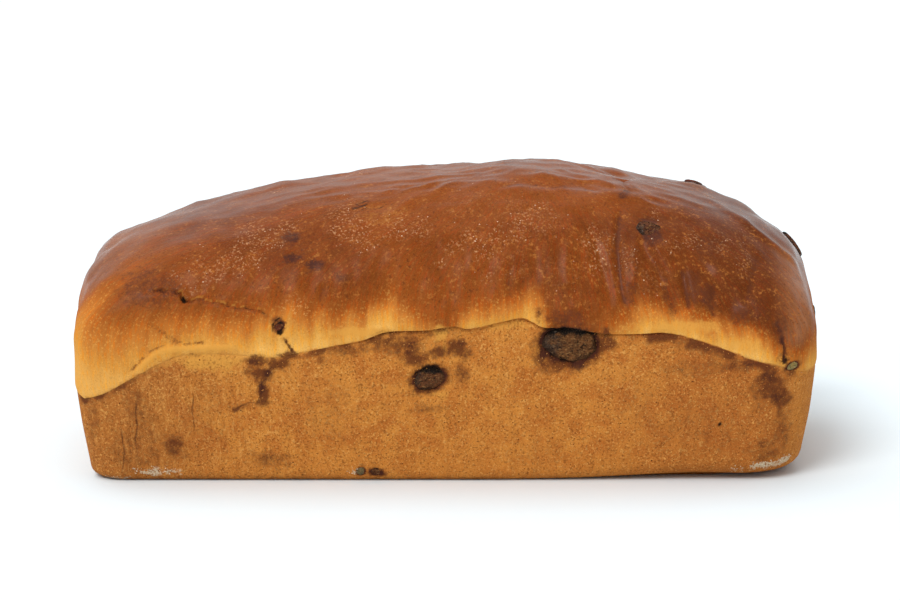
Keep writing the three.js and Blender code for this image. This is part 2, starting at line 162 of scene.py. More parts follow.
# Fruit: side, place across and height, (length, width, depth), how proud it is, turn in degrees,
# its colour from 0, olive brown, over 0.5, purple brown, to 1, dark red, and how much of its face
# the crust leaves bare
fruitTable = {
    "raisin_front_large": ("front", 40.6, 48.9, (19.4, 13.4, 4.8), -0.5, -6, 0.05, 0.93),
    "raisin_front_small": ("front", -5.6, 36.9, (11.6, 8.6, 3.6), -0.4, 20, 0.3, 0.9),
    "raisin_front_seam": ("front", -54.6, 55.2, (6.2, 4.6, 2.8), -0.2, 62, 0.75, 0.42),
    "raisin_front_crown": ("front", 67.2, 84.4, (9.4, 7.4, 3.2), 0.5, -15, 0.5, 0.42),
    "raisin_foot": ("front", -23.6, 3.5, (5.2, 2.8, 2.4), 0, -14, 0.3, 0.62),
    "raisin_shoulder": ("right", 3, 71, (11, 6, 3.2), 1, 82, 0.55, 0.85),
    "raisin_top_right": ("right", 14, 89, (8, 6, 2.8), 0.8, 20, 1, 0.8),
    "raisin_right_end_low": ("right", 14, 30, (12, 8.5, 3.6), -0.4, 25, 0.2, 0.9),
    "raisin_right_end_seam": ("right", -24, 52, (9.5, 7, 3.2), 0.2, -30, 0.4, 0.85),
    "raisin_back_right": ("back", 78, 37, (13, 9, 4), -0.4, 18, 0.15, 0.9),
    "raisin_back_middle": ("back", 12, 44, (15, 10, 4), -0.5, -12, 0.3, 0.93),
    "raisin_back_left": ("back", -66, 28, (11.5, 8.5, 3.6), -0.3, 40, 0.45, 0.88),
    "raisin_back_crown": ("back", -34, 80, (10.5, 8, 3.2), 0.6, 25, 0.55, 0.75),
    "raisin_left_end": ("left", -6, 24, (12, 9, 3.6), -0.4, -20, 0.25, 0.88),
    "peel_corner": ("front", 114.2, 41.2, (4.8, 3.2, 2.1), 0.1, 12, 0, 0.8),
    "peel_foot": ("front", -28.6, 3.7, (3.4, 3, 1.9), 0.2, 50, 0.6, 0.7),
}
Fruit = namedtuple("Fruit", "side across height size proud turn hue shows")
fruits = {name: Fruit(*values) for name, values in fruitTable.items()}


def smooth(t):
    c = np.clip(t, 0, 1)
    return c * c * (3 - 2 * c)


def mix(a, b, t):
    return a + (b - a) * t


def bell(t):
    return np.exp(-t * t)


# 1 along a path, and 0 at both its ends
def tapered(share, end):
    return smooth(share / end) * smooth((1 - share) / end)


# A smooth curve through points (x, y), read at x
def curveAt(points, x):
    xs, ys = np.array(points, dtype=float).T
    last = len(xs) - 1
    i = np.clip(np.searchsorted(xs, x, side="right") - 1, 0, last - 1)
    before = np.maximum(np.arange(last + 1) - 1, 0)
    after = np.minimum(np.arange(last + 1) + 1, last)
    slopes = (ys[after] - ys[before]) / (xs[after] - xs[before])
    h = xs[i + 1] - xs[i]
    t = (x - xs[i]) / h
    rising = (2 * t**3 - 3 * t**2 + 1) * ys[i] + (3 * t**2 - 2 * t**3) * ys[i + 1]
    return rising + (t**3 - 2 * t**2 + t) * h * slopes[i] + (t**3 - t**2) * h * slopes[i + 1]


def crownCurve(name, angle):
    step = math.pi / 12
    return curveAt([(i * step, value) for i, value in enumerate(loafForm[name])], angle)


# The bare loaf: level is 0 at the base, 1 at the widest place and 2 at the top, and (px, py) is a
# place on the border of a square from -1 to 1
def bodyPoints(level, px, py):
    form = loafForm
    level, px, py = (np.asarray(v, dtype=float) for v in np.broadcast_arrays(level, px, py))
    wall = np.minimum(level, 1)
    angle = np.maximum(level - 1, 0) * math.pi / 2
    lean = 1 - wall
    foot = mix(form["footRound"], form["footRoundRight"], smooth(px))
    up = np.minimum(form["wideHeight"] * wall, foot)
    footIn = foot - np.sqrt(foot**2 - (foot - up) ** 2)
    wallEnd = form["halfLength"] - form["endLean"] * lean**1.6 - footIn
    wallSide = form["halfDepth"] - form["sideLean"] * lean**1.25 - footIn
    onCrown = level > 1
    left = np.where(onCrown, form["halfLength"] - crownCurve("leftIn", angle), wallEnd)
    right = np.where(onCrown, form["halfLength"] - crownCurve("rightIn", angle), wallEnd)
    b = np.where(onCrown, np.maximum(crownCurve("depthReach", angle), 0), wallSide)
    a = np.maximum((left + right) / 2, 0)
    middle = (right - left) / 2

    corners = form["corners"]
    frontRound = np.where(px < 0, corners["frontLeft"], corners["frontRight"])
    backRound = np.where(px < 0, corners["backLeft"], corners["backRight"])
    r = np.minimum(np.where(py < 0, frontRound, backRound), np.minimum(a, b))
    innerX = np.clip(a * px, r - a, a - r)
    innerY = np.clip(b * py, r - b, b - r)
    outX = a * px - innerX
    outY = b * py - innerY
    out = np.hypot(outX, outY)
    out = np.where(out == 0, 1, out)

    n = form["crownRoundness"]
    shrink = (np.abs(px) ** n + np.abs(py) ** n) ** (-1 / n)
    blend = smooth((level - 1) / form["crownBlend"])
    x = mix(innerX + r * outX / out, a * px * shrink, blend)
    y = mix(innerY + r * outY / out, b * py * shrink, blend)
    dome = form["wideHeight"] + (form["crownTop"] - form["wideHeight"]) * np.sin(angle)
    z = np.where(onCrown, dome, form["wideHeight"] * wall)
    liftX, liftY = form["footLiftAt"]
    lift = form["footLift"] * bell(np.hypot(x - liftX, y - liftY) / form["footLiftRadius"])
    return np.stack([middle + x, y, z + lift * bell(z / form["footLiftFade"])], axis=-1)


def levelOfHeight(z):
    wide, top = loafForm["wideHeight"], loafForm["crownTop"]
    over = np.arcsin(np.clip((z - wide) / (top - wide), 0, 1)) / (math.pi / 2)
    return np.where(z <= wide, z / wide, 1 + over)


def squareBorder(long, short):
    front = [(-1 + 2 * i / long, -1) for i in range(long)]
    right = [(1, -1 + 2 * i / short) for i in range(short)]
    back = [(1 - 2 * i / long, 1) for i in range(long)]
    left = [(-1, 1 - 2 * i / short) for i in range(short)]
    return np.array(front + right + back + left, dtype=float)


# The distance round the loaf, measured over the solid's own columns
solidColumns = (46, 22)
solidBorder = squareBorder(*solidColumns)
solidLoop = bodyPoints(1, solidBorder[:, 0], solidBorder[:, 1])
solidSteps = np.linalg.norm(np.diff(solidLoop, axis=0), axis=1)
solidRound = np.concatenate([[0], np.cumsum(solidSteps), [loopLength]])


def columnOf(px, py, columns):
    long, short = columns
    places = [(1 + px) / 2 * long, long + (1 + py) / 2 * short, long + short + (1 - px) / 2 * long]
    rest = 2 * long + short + (1 - py) / 2 * short
    return np.select([py == -1, px == 1, py == 1], places, rest)


def alongOf(px, py):
    column = columnOf(np.asarray(px, float), np.asarray(py, float), solidColumns)
    return np.interp(column, np.arange(len(solidRound)), solidRound)


# How far the crust stands out of the bare loaf, as in the solid
def solidRelief(p, along):
    form = loafForm
    overTin = p[..., 2] - curveAt(tinLine, along)
    lip = curveAt(lipReach, along)
    out = np.where(overTin > 0, lip * bell(overTin / form["lipFade"]), 0)
    for rise, long, deep, tall, shift in lumps:
        waves = np.sin(p[..., 0] / long + shift) * np.cos(p[..., 1] / deep + p[..., 2] / tall)
        out = out + rise * smooth(overTin / form["lumpFade"]) * waves
    out = out - np.minimum(lip, 1) * form["grooveDepth"] * bell(overTin / form["grooveWidth"])
    for place, height, depth, wide, tall in furrows:
        out = out - depth * bell((along - place) / wide) * bell((p[..., 2] - height) / tall)
    for place, rise, radius in swellings:
        out = out + rise * bell(np.linalg.norm(p - np.array(place), axis=-1) / radius)
    return out * smooth(p[..., 2] / form["footRound"])


def outwardAt(level, px, py):
    step = 0.004
    low = bodyPoints(np.maximum(level - step, 0), px, py)
    high = bodyPoints(np.minimum(level + step, 2 - step), px, py)
    onLongSide = (np.abs(py) == 1) & (np.abs(px) < 1)
    stepX = np.where(onLongSide, -step * py, 0)
    stepY = np.where(onLongSide, 0, step * px)
    across = bodyPoints(level, px + stepX, py + stepY) - bodyPoints(level, px - stepX, py - stepY)
    normal = np.cross(across, high - low)
    return normal / np.maximum(np.linalg.norm(normal, axis=-1, keepdims=True), 1e-9)


# The crust at one place of a side, with its outward direction
def placeOn(side, across, height):
    level = levelOfHeight(np.array([float(height)]))
    long = side in ("front", "back")
    fixed = -1.0 if side in ("front", "left") else 1.0
    low, high = -1.0, 1.0
    for _ in range(30):
        t = (low + high) / 2
        place = (t, fixed) if long else (fixed, t)
        p = bodyPoints(level, np.array([place[0]]), np.array([place[1]]))[0]
        if (p[0] if long else p[1]) < across:
            low = t
        else:
            high = t
    px, py = np.array([place[0]]), np.array([place[1]])
    p = bodyPoints(level, px, py)
    out = outwardAt(level, px, py)
    along = alongOf(px, py)
    return (p + out * solidRelief(p, along)[:, None])[0], out[0]


# The level direction in a face that looks out, and the direction up that face
def levelAxes(out):
    rightward = np.cross((0, 0, 1), out)
    rightward = rightward / np.linalg.norm(rightward)
    return rightward, np.cross(out, rightward)


# The frame of a fruit: its place, and the directions along, across and out of its face
def fruitFrame(fruit):
    point, out = placeOn(fruit.side, fruit.across, fruit.height)
    rightward, upward = levelAxes(out)
    c, s = math.cos(math.radians(fruit.turn)), math.sin(math.radians(fruit.turn))
    return point, c * rightward + s * upward, c * upward - s * rightward, out


def noiseAt(points, size, shift=0.0, stretch=(1, 1, 1)):
    scaled = points / (np.array(stretch, dtype=float) * size) + shift
    return np.array([noise.noise(Vector(q)) for q in scaled])


# The same noise on every height, for what changes only round the loaf
def noiseRound(along, size, shift):
    return noiseAt(np.stack([along, 0 * along, 0 * along], 1), size, shift)


# For each point: how far it is from a path, on which side (+ is left of the way), and how far
# along the path, from 0 to 1
def reachOf(points, path):
    path = np.array(path, dtype=float)
    flat = points[:, [0, 2]] if path.shape[1] == 2 else points
    best = np.full(len(points), 1e9)
    side = np.ones(len(points))
    share = np.zeros(len(points))
    lengths = np.linalg.norm(np.diff(path, axis=0), axis=1)
    total = lengths.sum()
    for i, length in enumerate(lengths):
        a, b = path[i], path[i + 1]
        t = np.clip(((flat - a) @ (b - a)) / length**2, 0, 1)
        away = flat - (a + t[:, None] * (b - a))
        distance = np.linalg.norm(away, axis=1)
        near = distance < best
        turned = (b - a)[0] * away[:, -1] - (b - a)[-1] * away[:, 0]
        best = np.where(near, distance, best)
        side = np.where(near, np.where(turned < 0, -1.0, 1.0), side)
        share = np.where(near, (lengths[:i].sum() + t * length) / total, share)
    return best, side, share


# Lines on the front, as (x, z) in millimetres, or (x, y, z) high on the crown. Each one has its
# half width, how deep it is (less than 0 is a ridge), and what it is painted with.
creases = {
    "seamCrease": ([(-53.4, 51.6), (-52.4, 49.6), (-51.4, 48.3), (-50.3, 46.6)], 0.8, 0.9),
    "foldUpper": ([(-98, 57), (-97.2, 55.9), (-94, 53.6), (-90.9, 51.6), (-88.4, 49.9),
                   (-85.8, 49.3), (-82.5, 49.6), (-77.6, 50)], 1.0, 0.8),
    "foldLower": ([(-105, 38.6), (-104.1, 39.7), (-102.1, 41.8), (-99.4, 44.8), (-96.8, 46.9),
                   (-94.1, 48.2), (-91.7, 49.1), (-89.1, 49.6)], 0.9, 0.6),
    "foldLowerLip": ([(-103, 38.6), (-101, 40.8), (-98.2, 43.8), (-95.6, 45.9), (-92.9, 47.2),
                      (-88, 47.9), (-78, 48.2), (-66, 48.2)], 1.7, -0.9),
    "foldRight": ([(-84.6, 46.3), (-82.2, 44.9), (-79.8, 45.3)], 1.1, 0.4),
    "cornerCrease": ([(108, 57), (110, 52), (111.3, 47), (111, 43)], 1.4, 1.1),
    "scratch": ([(67.2, 84.6), (67.6, 82), (68.6, 79.4), (70.8, 76.4)], 0.55, -0.4),
    "topWrinkleLeft": ([(-5.5, -28.7, 93.6), (-2.1, -25.2, 94.7), (0.2, -21.9, 95.4),
                        (2.9, -19.6, 96.1), (9.6, -20.6, 96.6), (17.3, -22.5, 96.9)], 1.6, -0.7),
    "topWrinkleRight": ([(28.1, -18.9, 98), (33.2, -17, 98), (37.6, -17.5, 97.4),
                         (45, -16.8, 96.6), (50.5, -15.6, 96), (54.4, -18.5, 95.2),
                         (56.5, -23.3, 94)], 1.6, -0.7),
    "topWrinkleLong": ([(14, -27, 95), (24, -24, 96.4), (35, -24, 96), (46, -22.5, 95.6),
                        (53, -25, 94)], 1.5, 0.6),
    "topFold": ([(60, -5, 96), (60, -12, 95), (61, -19, 93.5), (62, -27, 90)], 1.5, 0.8),
    "longFold": ([(58, 91), (57.2, 86), (56.4, 80), (56.8, 73), (57.6, 66), (59, 60)], 1.2, 1.1),
    "besideFold": ([(63.4, 88), (62.6, 82), (61.6, 75), (62, 67)], 1.6, -0.6),
    "shortFold": ([(77.6, 73), (78.4, 67), (79.8, 60)], 1.3, 1.1),
    "slantFold": ([(104, 76), (100.6, 69), (98, 61)], 1.5, 0.8),
    "slimFold": ([(88.6, 68), (87.4, 62), (87.8, 57)], 1.2, 0.8),
    "leftFold": ([(-40.4, 69), (-41, 64), (-40.6, 60)], 1.3, 0.5),
    "middleFold": ([(21, 76), (20.4, 70), (21.2, 63)], 1.5, 0.5),
    "raisedFold": ([(40, 82), (39.4, 75), (40, 67)], 1.8, -0.5),
    "topWrinkleMiddle": ([(-22, -21, 94.6), (-14, -24, 94), (-7, -22, 95), (-1, -17, 96.4)], 1.4, -0.6),
    "topWrinkleFar": ([(-34, -12, 95), (-24, -10, 95.8), (-12, -13, 96.6), (0, -10, 97.4),
                       (12, -12, 98), (24, -9, 98.6)], 1.5, -0.6),
    "topWrinkleShort": ([(2, -24, 94.6), (5, -28, 93.4), (6, -33, 91)], 1.3, 0.7),
    "topPit": ([(57, -9, 94.6), (59, -8, 95), (61.5, -9, 94.6)], 1.3, 1.5),
    "shoulderRidge": ([(86.6, -3.6, 89.1), (91.1, -6.6, 87.5), (95.9, -15.1, 85.3),
                       (102.1, -22.4, 81.5), (106.7, -24.4, 78.5), (113.8, -25.4, 72.9),
                       (119.1, -23.7, 67.4)], 2.2, -0.7),
}

creaseTaper = 0.15  # the share of a crease over which each end runs out

# Thin cracks, which the material darkens as painted shade from their signed distance: path and half width
thinCracks = [
    ([(-107.9, 20), (-107.5, 14), (-107, 10.5), (-107.8, 6), (-108.5, 2.2)], 0.26),
    ([(-102.3, 29.5), (-102.9, 24), (-102.4, 20.7), (-103.4, 15), (-102.8, 10.5), (-103.2, 8)], 0.3),
    ([(-83.3, 31.4), (-84.1, 26), (-83.5, 18.9)], 0.2),
    ([(-60.1, 34.6), (-61.3, 31.4), (-63.2, 27.1)], 0.4),
    ([(-61.4, 27.9), (-65.2, 28.9), (-69.8, 26.4)], 0.3),
    ([(-53.6, 51.8), (-52.4, 49.6), (-51.4, 48.3), (-50.2, 46.2)], 0.36),
    ([(110.2, 51.5), (111.4, 47), (111, 43.4), (113.6, 41), (115.6, 39.6)], 0.38),
    ([(-30.2, -29.5, 90.7), (-28.4, -31.7, 90.1), (-26.2, -28.1, 91.5)], 0.5),
    ([(75, -29, 84.4), (73.6, -33, 83.4), (71, -37, 82.6)], 0.35),
]

# Soft patches on the front: mark, (x, z), half width and half height, power
patches = {
    # stains, and painted shade in some furrows of the crown
    "stainAndShade": [
        (-61, 38.6, 5.2, 3.2, 0.9), (-62.5, 43.2, 4.4, 2.6, 0.75), (-55.6, 42.2, 4.4, 2.4, 0.85),
        (-52, 45.4, 4, 1.6, 0.8), (-64.6, 39.4, 3.6, 1.8, 0.7), (-60.6, 32.4, 2, 3.8, 0.9),
        (-60.6, 28.6, 3, 1.4, 0.85), (-66.4, 28, 4, 0.9, 0.7), (-69.8, 26.6, 1.8, 1.1, 0.85),
        (-2.4, 46.4, 4.4, 2.4, 0.75), (30.4, 45, 2.4, 5, 0.6), (3.6, 49, 4.6, 3.2, 0.85),
        (5.6, 46, 4, 2, 0.7), (-17, 49.6, 9.5, 3.8, 0.6), (-11, 48, 4.6, 5, 0.65), (-10, 44, 5, 3, 0.7),
        (-5, 26.4, 7.5, 2, 0.45), (-41, 43.6, 2, 2, 0.5), (-33, 47, 8, 2, 0.5), (4.4, 39.4, 2.8, 6, 0.55),
        (-8.6, 32.6, 4.2, 1.4, 0.5), (38, 42.2, 10, 3, 0.7), (52.5, 50, 3.6, 5, 0.7),
        (28.5, 48, 2.6, 5, 0.5), (106.6, 36, 6, 6, 0.72), (109.8, 31, 4.4, 5.6, 0.7),
        (104, 31, 4, 6, 0.4), (111.4, 19, 3.8, 10, 0.42), (107, 11, 8, 5, 0.45), (94, 42, 10, 3, 0.5),
        (111, 44.6, 3, 3, 0.5), (85, 20, 26, 12, 0.18), (-90.5, 13, 4.4, 4.2, 0.62),
        (-88, 9.6, 5, 3, 0.3), (-117.4, 22, 2.6, 8, 0.35), (-102.4, 26, 5, 8, 0.35),
        (-80, 24, 14, 14, 0.16), (-58, 8, 8, 4, 0.42), (-102, 14, 12, 14, 0.3), (62, 30, 9, 11, 0.14),
        (84, 41, 16, 4, 0.32), (-38, 26, 10, 14, 0.2), (30, 10, 20, 6, 0.12), (-52, 76, 11, 8, 0.25),
        (58, 80, 8, 10, 0.25), (-97, 67, 12, 7, 0.5), (86, 64.5, 3, 4.5, 0.75), (81, 68, 3, 6, 0.5),
        (60, 66, 2.6, 5, 0.45), (-62, 91, 8, 0.8, 0.5), (74, 62, 2.4, 5, 0.5), (96, 60, 4, 6, 0.45),
        (39, 58.5, 8, 2.6, 0.5), (30, 60, 2, 4, 0.4),
    ],
    # juice stains, and some painted shade in pits and creases
    "juiceAndShade": [
        (-58.6, 38.6, 3.2, 3.4, 0.75), (-61, 35, 1.6, 3, 0.75), (-63.4, 43, 2.6, 1.4, 0.5),
        (31.4, 46, 1.5, 3.4, 0.7), (-11.6, 48, 4, 2.6, 0.45), (4.6, 49.6, 3, 1.6, 0.45),
        (43, 41.4, 3, 2, 0.9), (106, 37.6, 3.4, 2.6, 0.5), (108.8, 30.4, 2.8, 2, 0.5),
        (112.6, 13, 1.6, 5, 0.3), (98, 42.6, 6, 1.4, 0.4), (-55.6, 57.2, 2.6, 2.4, 0.6),
        (110.4, 50.4, 1.8, 4, 0.6), (-51, 82, 4, 1.8, 0.7), (-51, 76.6, 4, 1.8, 0.75),
        (-43, 74.4, 3.4, 1.8, 0.75), (-34, 71, 4, 2, 0.4), (86, 79, 9, 4, 0.35),
        (-70, 64.5, 3.6, 1.4, 0.35), (67.4, 83.6, 5.6, 4.6, 0.65), (84.5, 63, 1.6, 2.4, 0.4),
        (103, 60, 6, 5, 0.35), (59.4, 93.6, 2.6, 1.2, 0.6), (-55.5, 92.6, 5.5, 0.9, 0.55),
        (62, 73, 1.4, 9, 0.35), (72, 66, 1.6, 6, 0.45), (110, 56, 3, 8, 0.4),
    ],
    "goldAndHighlight": [
        (-20, 89, 12, 4, 0.27), (-1.8, 52.8, 2.6, 3, 1), (-0.6, 48.2, 1.2, 2, 0.8),
        (-2.2, 31.8, 5, 2, 0.6), (-28, 53.4, 13, 1.8, 0.9), (20, 55.5, 10, 2.6, 0.55),
        (-79, 43.4, 14, 4.2, 0.8), (-70, 40, 9, 2.4, 0.35), (78, 55, 14, 2.4, 0.8), (98, 49, 9, 3, 0.6),
        (62, 55.4, 6, 2, 0.4),
    ],
    # painted shade in pits, dark dots and small holes
    "paintedShade": [
        (2.4, 35.3, 0.9, 0.9, 0.9), (90.7, 21.4, 0.95, 0.95, 1), (-48, 2.6, 0.4, 0.5, 0.6),
        (-54.5, 53.4, 1.1, 1.2, 1), (-54.3, 54.8, 0.8, 0.9, 1), (111.2, 43.6, 0.9, 1.6, 0.8),
        (-30, 90.4, 1.4, 0.5, 0.8), (-27.2, 91.2, 0.7, 0.9, 0.8), (-18, 91.6, 0.6, 0.4, 0.7),
        (-21.8, 90.4, 0.5, 0.4, 0.7),
    ],
    "dust": [
        (-95.5, 3.6, 8.5, 1.5, 0.62), (-110, 1.2, 5, 1, 0.4), (106.5, 5.4, 6, 1.5, 0.85),
        (113, 7, 3.2, 1.6, 0.7), (97.5, 3.8, 4, 1, 0.5), (-31, 3.4, 2.4, 1.4, 0.6),
    ],
}

# The same on the back and both ends: mark, (distance round the loaf, height), half sizes, power
hiddenPatches = {
    "stainAndShade": [
        (262, 30, 6, 9, 0.35), (300, 24, 13, 9, 0.25), (323, 43, 8, 3, 0.6), (372, 26, 4, 9, 0.45),
        (398, 44.6, 9, 3, 0.65), (447, 47, 8, 3, 0.7), (462, 38, 3, 6, 0.55), (486, 24, 14, 9, 0.25),
        (530, 44, 10, 3, 0.6), (566, 16, 8, 8, 0.35), (514, 6, 9, 3, 0.4), (612, 28, 5, 9, 0.4),
        (652, 38, 7, 3, 0.6), (538, 72, 8, 6, 0.35), (390, 66, 6, 7, 0.4), (640, 68, 8, 6, 0.3),
    ],
    "juiceAndShade": [
        (325, 43.4, 4, 1.3, 0.5), (401, 44, 4, 1.4, 0.5), (449, 47.4, 5, 1.6, 0.5),
        (654, 37.6, 3, 1.2, 0.5), (430, 74, 5, 2, 0.5), (476, 70, 4, 2.2, 0.5), (300, 66, 5, 3, 0.45),
    ],
    "goldAndHighlight": [
        (286, 44, 12, 3.4, 0.6), (426, 49, 13, 3, 0.6), (505, 51, 13, 3, 0.6), (630, 39, 8, 3, 0.5),
    ],
    "dust": [
        (330, 3.4, 7, 1.4, 0.8), (421, 3.2, 9, 1.3, 0.8), (648, 3, 8, 1.3, 0.7),
    ],
}

# Loose clusters of blisters on the crown, whose pale paint stands for glints: (x, z), radius and power
sparkleSpots = [
    (-65, 81, 4.5, 1), (-61, 82.2, 3, 0.8), (-56.6, 81.3, 4, 0.9), (-52, 84, 3, 1), (-81, 73, 6, 0.4),
    (-76, 72, 5, 0.5), (-69.6, 75, 5, 0.8), (-62, 76.5, 4, 0.6), (-89.3, 70.3, 4, 0.5),
    (-84, 66.6, 3, 0.5), (-33.6, 85.8, 6, 0.7), (-28.5, 83.3, 5, 1), (-25, 81.2, 3, 1), (-38, 88, 4, 0.4),
    (-17, 86.3, 5, 0.6), (-9, 86, 5, 0.5), (1.2, 80.2, 3, 0.5), (7.8, 82.2, 5, 0.5), (11, 79.3, 4, 1),
    (-2, 75.7, 2, 0.9), (17.7, 83.6, 6, 0.5), (24.3, 86.4, 7, 0.5), (31, 87.6, 7, 0.4),
    (49, 81.6, 5, 0.6), (49.9, 75.1, 5, 0.6), (60.5, 76.3, 3.5, 1), (55.7, 82.1, 2, 1),
    (69.5, 88.4, 2, 1), (81.6, 81, 3, 1), (90.8, 79.5, 4, 0.5), (98.7, 73.2, 5, 0.4), (75, 80, 3, 0.5),
    (67.8, 81.6, 0.9, 1), (69.2, 78.4, 0.9, 1), (20, 74, 9, 0.25), (38, 70, 10, 0.2), (-50, 62, 6, 0.3),
    (66, 70, 8, 0.25), (100, 80, 6, 0.3), (58, 68, 4, 0.3), (5, 90, 7, 0.25), (13, 71, 3, 0.5),
]


# The height of the tear's line, jagged where the skin is torn
def skinHeight(along):
    jag = noiseRound(along, 2.3, 0.4) + 0.7 * noiseRound(along, 1.15, 7.7)
    torn = smooth((along - tearFrom + 4) / 4) * (1 - smooth((along - tearTo) / 4))
    return np.maximum(curveAt(skinLine, along), curveAt(tinLine, along) + 9) + 0.75 * torn * jag


# Which rows a column has: heights on the wall and round the two lines, then levels of the crown
def columnLevels(px, along):
    foot = mix(loafForm["footRound"], loafForm["footRoundRight"], smooth(px))
    tin = curveAt(tinLine, along)
    skin = skinHeight(along)
    tinSteps, skinSteps = loafMesh["tinSteps"], loafMesh["skinSteps"]

    def between(low, high, rows):
        return [mix(low, high, i / rows) for i in range(1, rows)]

    heights = [share * foot for share in loafMesh["footShares"]]
    heights += between(foot, tin + tinSteps[0], loafMesh["wallRows"])
    heights += [tin + step for step in tinSteps]
    heights += between(tin + tinSteps[-1], skin + skinSteps[0], loafMesh["skinRows"])
    heights += [skin + step for step in skinSteps]
    levels = [levelOfHeight(z) for z in heights]
    levels += between(levels[-1], loafMesh["lastLevel"], loafMesh["crownRows"])
    return np.array(levels + [np.full(len(along), loafMesh["lastLevel"])])


# The bare surface as one closed mesh: its places (level, px, py) and its faces
def loafSurface():
    long, short = loafMesh["columns"]
    fine = squareBorder(long, short)
    levels = columnLevels(fine[:, 0], alongOf(fine[:, 0], fine[:, 1]))
    rows, columns = levels.shape
    places = [np.stack([levels[row], fine[:, 0], fine[:, 1]], axis=1) for row in range(rows)]
    faces = []
    k = np.arange(columns)
    after = (k + 1) % columns
    for row in range(rows - 1):
        low, high = row * columns, (row + 1) * columns
        faces += np.stack([low + k, low + after, high + after, high + k], axis=1).tolist()

    # the cap is a coarser grid, stitched to the last row
    capLong, capShort = long // 2, short // 2
    coarse = squareBorder(capLong, capShort)
    capLevel = loafMesh["capLevel"]
    ring = rows * columns
    places.append(np.column_stack([np.full(len(coarse), capLevel), coarse]))
    top = (rows - 1) * columns
    for i in range(len(coarse)):
        j = (i + 1) % len(coarse)
        a, b, c = top + 2 * i, top + 2 * i + 1, top + (2 * i + 2) % columns
        faces += [(a, b, ring + i), (b, ring + j, ring + i), (b, c, ring + j)]
    count = ring + len(coarse)
    grid = np.zeros((capShort + 1, capLong + 1), dtype=int)
    inner = []
    for j in range(capShort + 1):
        for i in range(capLong + 1):
            gx, gy = -1 + 2 * i / capLong, -1 + 2 * j / capShort
            reach = max(abs(gx), abs(gy))
            if reach == 1:
                column = columnOf(np.array(gx), np.array(gy), (capLong, capShort))
                grid[j, i] = ring + int(round(float(column))) % len(coarse)
                continue
            grid[j, i] = count
            count += 1
            inner.append((2, 1, 0) if reach == 0 else (mix(2, capLevel, reach), gx / reach, gy / reach))
    places.append(np.array(inner))
    for j in range(capShort):
        for i in range(capLong):
            faces.append((grid[j, i], grid[j, i + 1], grid[j + 1, i + 1], grid[j + 1, i]))
    return np.concatenate(places), faces, columns


# Adds the base under the first row: two coarser rings and a fan round the middle, flat on z = 0
def addBase(points, faces, columns):
    count = len(points)
    rim = points[:columns]
    rings = [np.arange(columns)]
    extra = []
    for share, step in ((0.93, 2), (loafForm["restShare"], 4)):
        inner = rim[::step] * (share, share, 0)
        rings.append(count + np.arange(len(inner)))
        extra.append(inner)
        count += len(inner)
    for outer, inner in zip(rings, rings[1:]):
        for i in range(len(inner)):
            j = (i + 1) % len(inner)
            a, b, c = outer[2 * i], outer[2 * i + 1], outer[(2 * i + 2) % len(outer)]
            faces += [(b, a, inner[i]), (inner[j], b, inner[i]), (c, b, inner[j])]
    last = rings[-1]
    faces += [(last[(i + 1) % len(last)], last[i], count) for i in range(len(last))]
    extra.append(np.zeros((1, 3)))
    return np.concatenate([points] + extra), faces


fruitShape = {
    "wrinkle": 0.07,
    "crinkle": 0.42,  # height of the small folds on the face
    "crinkleSize": 2.1,
    "skinBulge": 0.4,
    "bulgeShare": 0.07,
}

# The finer relief, which the solid leaves out
crustDetail = {
    "wallWave": 0.32,  # the uneven wall, in millimetres
    "leather": 0.42,  # the wrinkles of the crown's skin
    "topLeather": 0.6,
    "tearDepth": 0.95,
    "tearRidge": 0.5,
    "lipDroop": 1.0,
    "pocketUnder": 1.3,  # how far the crust stays under a fruit's face
    "pocketSlope": 0.3,
    "pocketRagged": 0.3,
    "bandFibre": 0.24,
}


# How far the skin's pocket bulges out of its rim, for a fruit
def bulgeOf(fruit):
    return fruitShape["skinBulge"] + fruitShape["bulgeShare"] * fruit.size[0]


# 1 where the skin is torn, and 0 beside it
def tearReach(along):
    return smooth((along - tearFrom) / 4) * (1 - smooth((along - tearTo + 4) / 4))


def fineRelief(p, along, overTin, overSkin):
    detail = crustDetail
    z = p[:, 2]
    crown = smooth(overTin / 9)
    wall = 1 - smooth((overTin + 0.5) / 1.5)
    flat = smooth(z / 4)
    waves = noiseAt(p, 17, 3.1) + 0.5 * noiseAt(p, 7, 9.7, (1, 1, 1.6))
    out = wall * flat * detail["wallWave"] * waves

    # leathery skin: long soft wrinkles, across the section low down and lengthwise on the top
    high = smooth((z - 84) / 10)
    upright = noiseAt(p, 5.5, 4.4, (1, 2.6, 2.6)) + 0.5 * noiseAt(p, 2.6, 7.2, (1, 2.4, 2.4))
    lengthwise = 1 - 2.2 * np.abs(noiseAt(p, 7.5, 12.6, (2.3, 1.1, 1)))
    lengthwise = lengthwise + 0.5 * noiseAt(p, 3.4, 2.2, (1.8, 1, 1))
    leather = detail["leather"] * (1 - high) * upright + detail["topLeather"] * high * lengthwise
    out = out + crown * (leather + 0.5 * noiseAt(p, 14, 21.3))

    # fibres of the stretched band
    band = smooth(overTin / 1.5) * (1 - smooth((overTin - 7) / 6))
    out = out + band * detail["bandFibre"] * noiseAt(p, 1.9, 5.5, (1, 1, 4))

    # the tear, with the lifted edge of the skin over it
    inTear = tearReach(along)
    gape = 0.2 + 0.6 * smooth(noiseRound(along, 1.7, 6.6) * 2.6 + 0.4)
    gape = gape + 0.9 * bell((along - tearWidest) / 2)
    out = out - inTear * gape * detail["tearDepth"] * bell((overSkin - 0.1) / 0.42)
    out = out + inTear * gape * detail["tearRidge"] * bell((overSkin - 1.1) / 0.7)
    out = out + inTear * 0.3 * bell((overSkin + 1.4) / 0.9)

    # creases and ridges of the front
    front = p[:, 1] < 0
    for path, half, depth in creases.values():
        distance, _, share = reachOf(p, path)
        out = out - np.where(front, depth * tapered(share, creaseTaper) * bell(distance / half), 0)
    return out


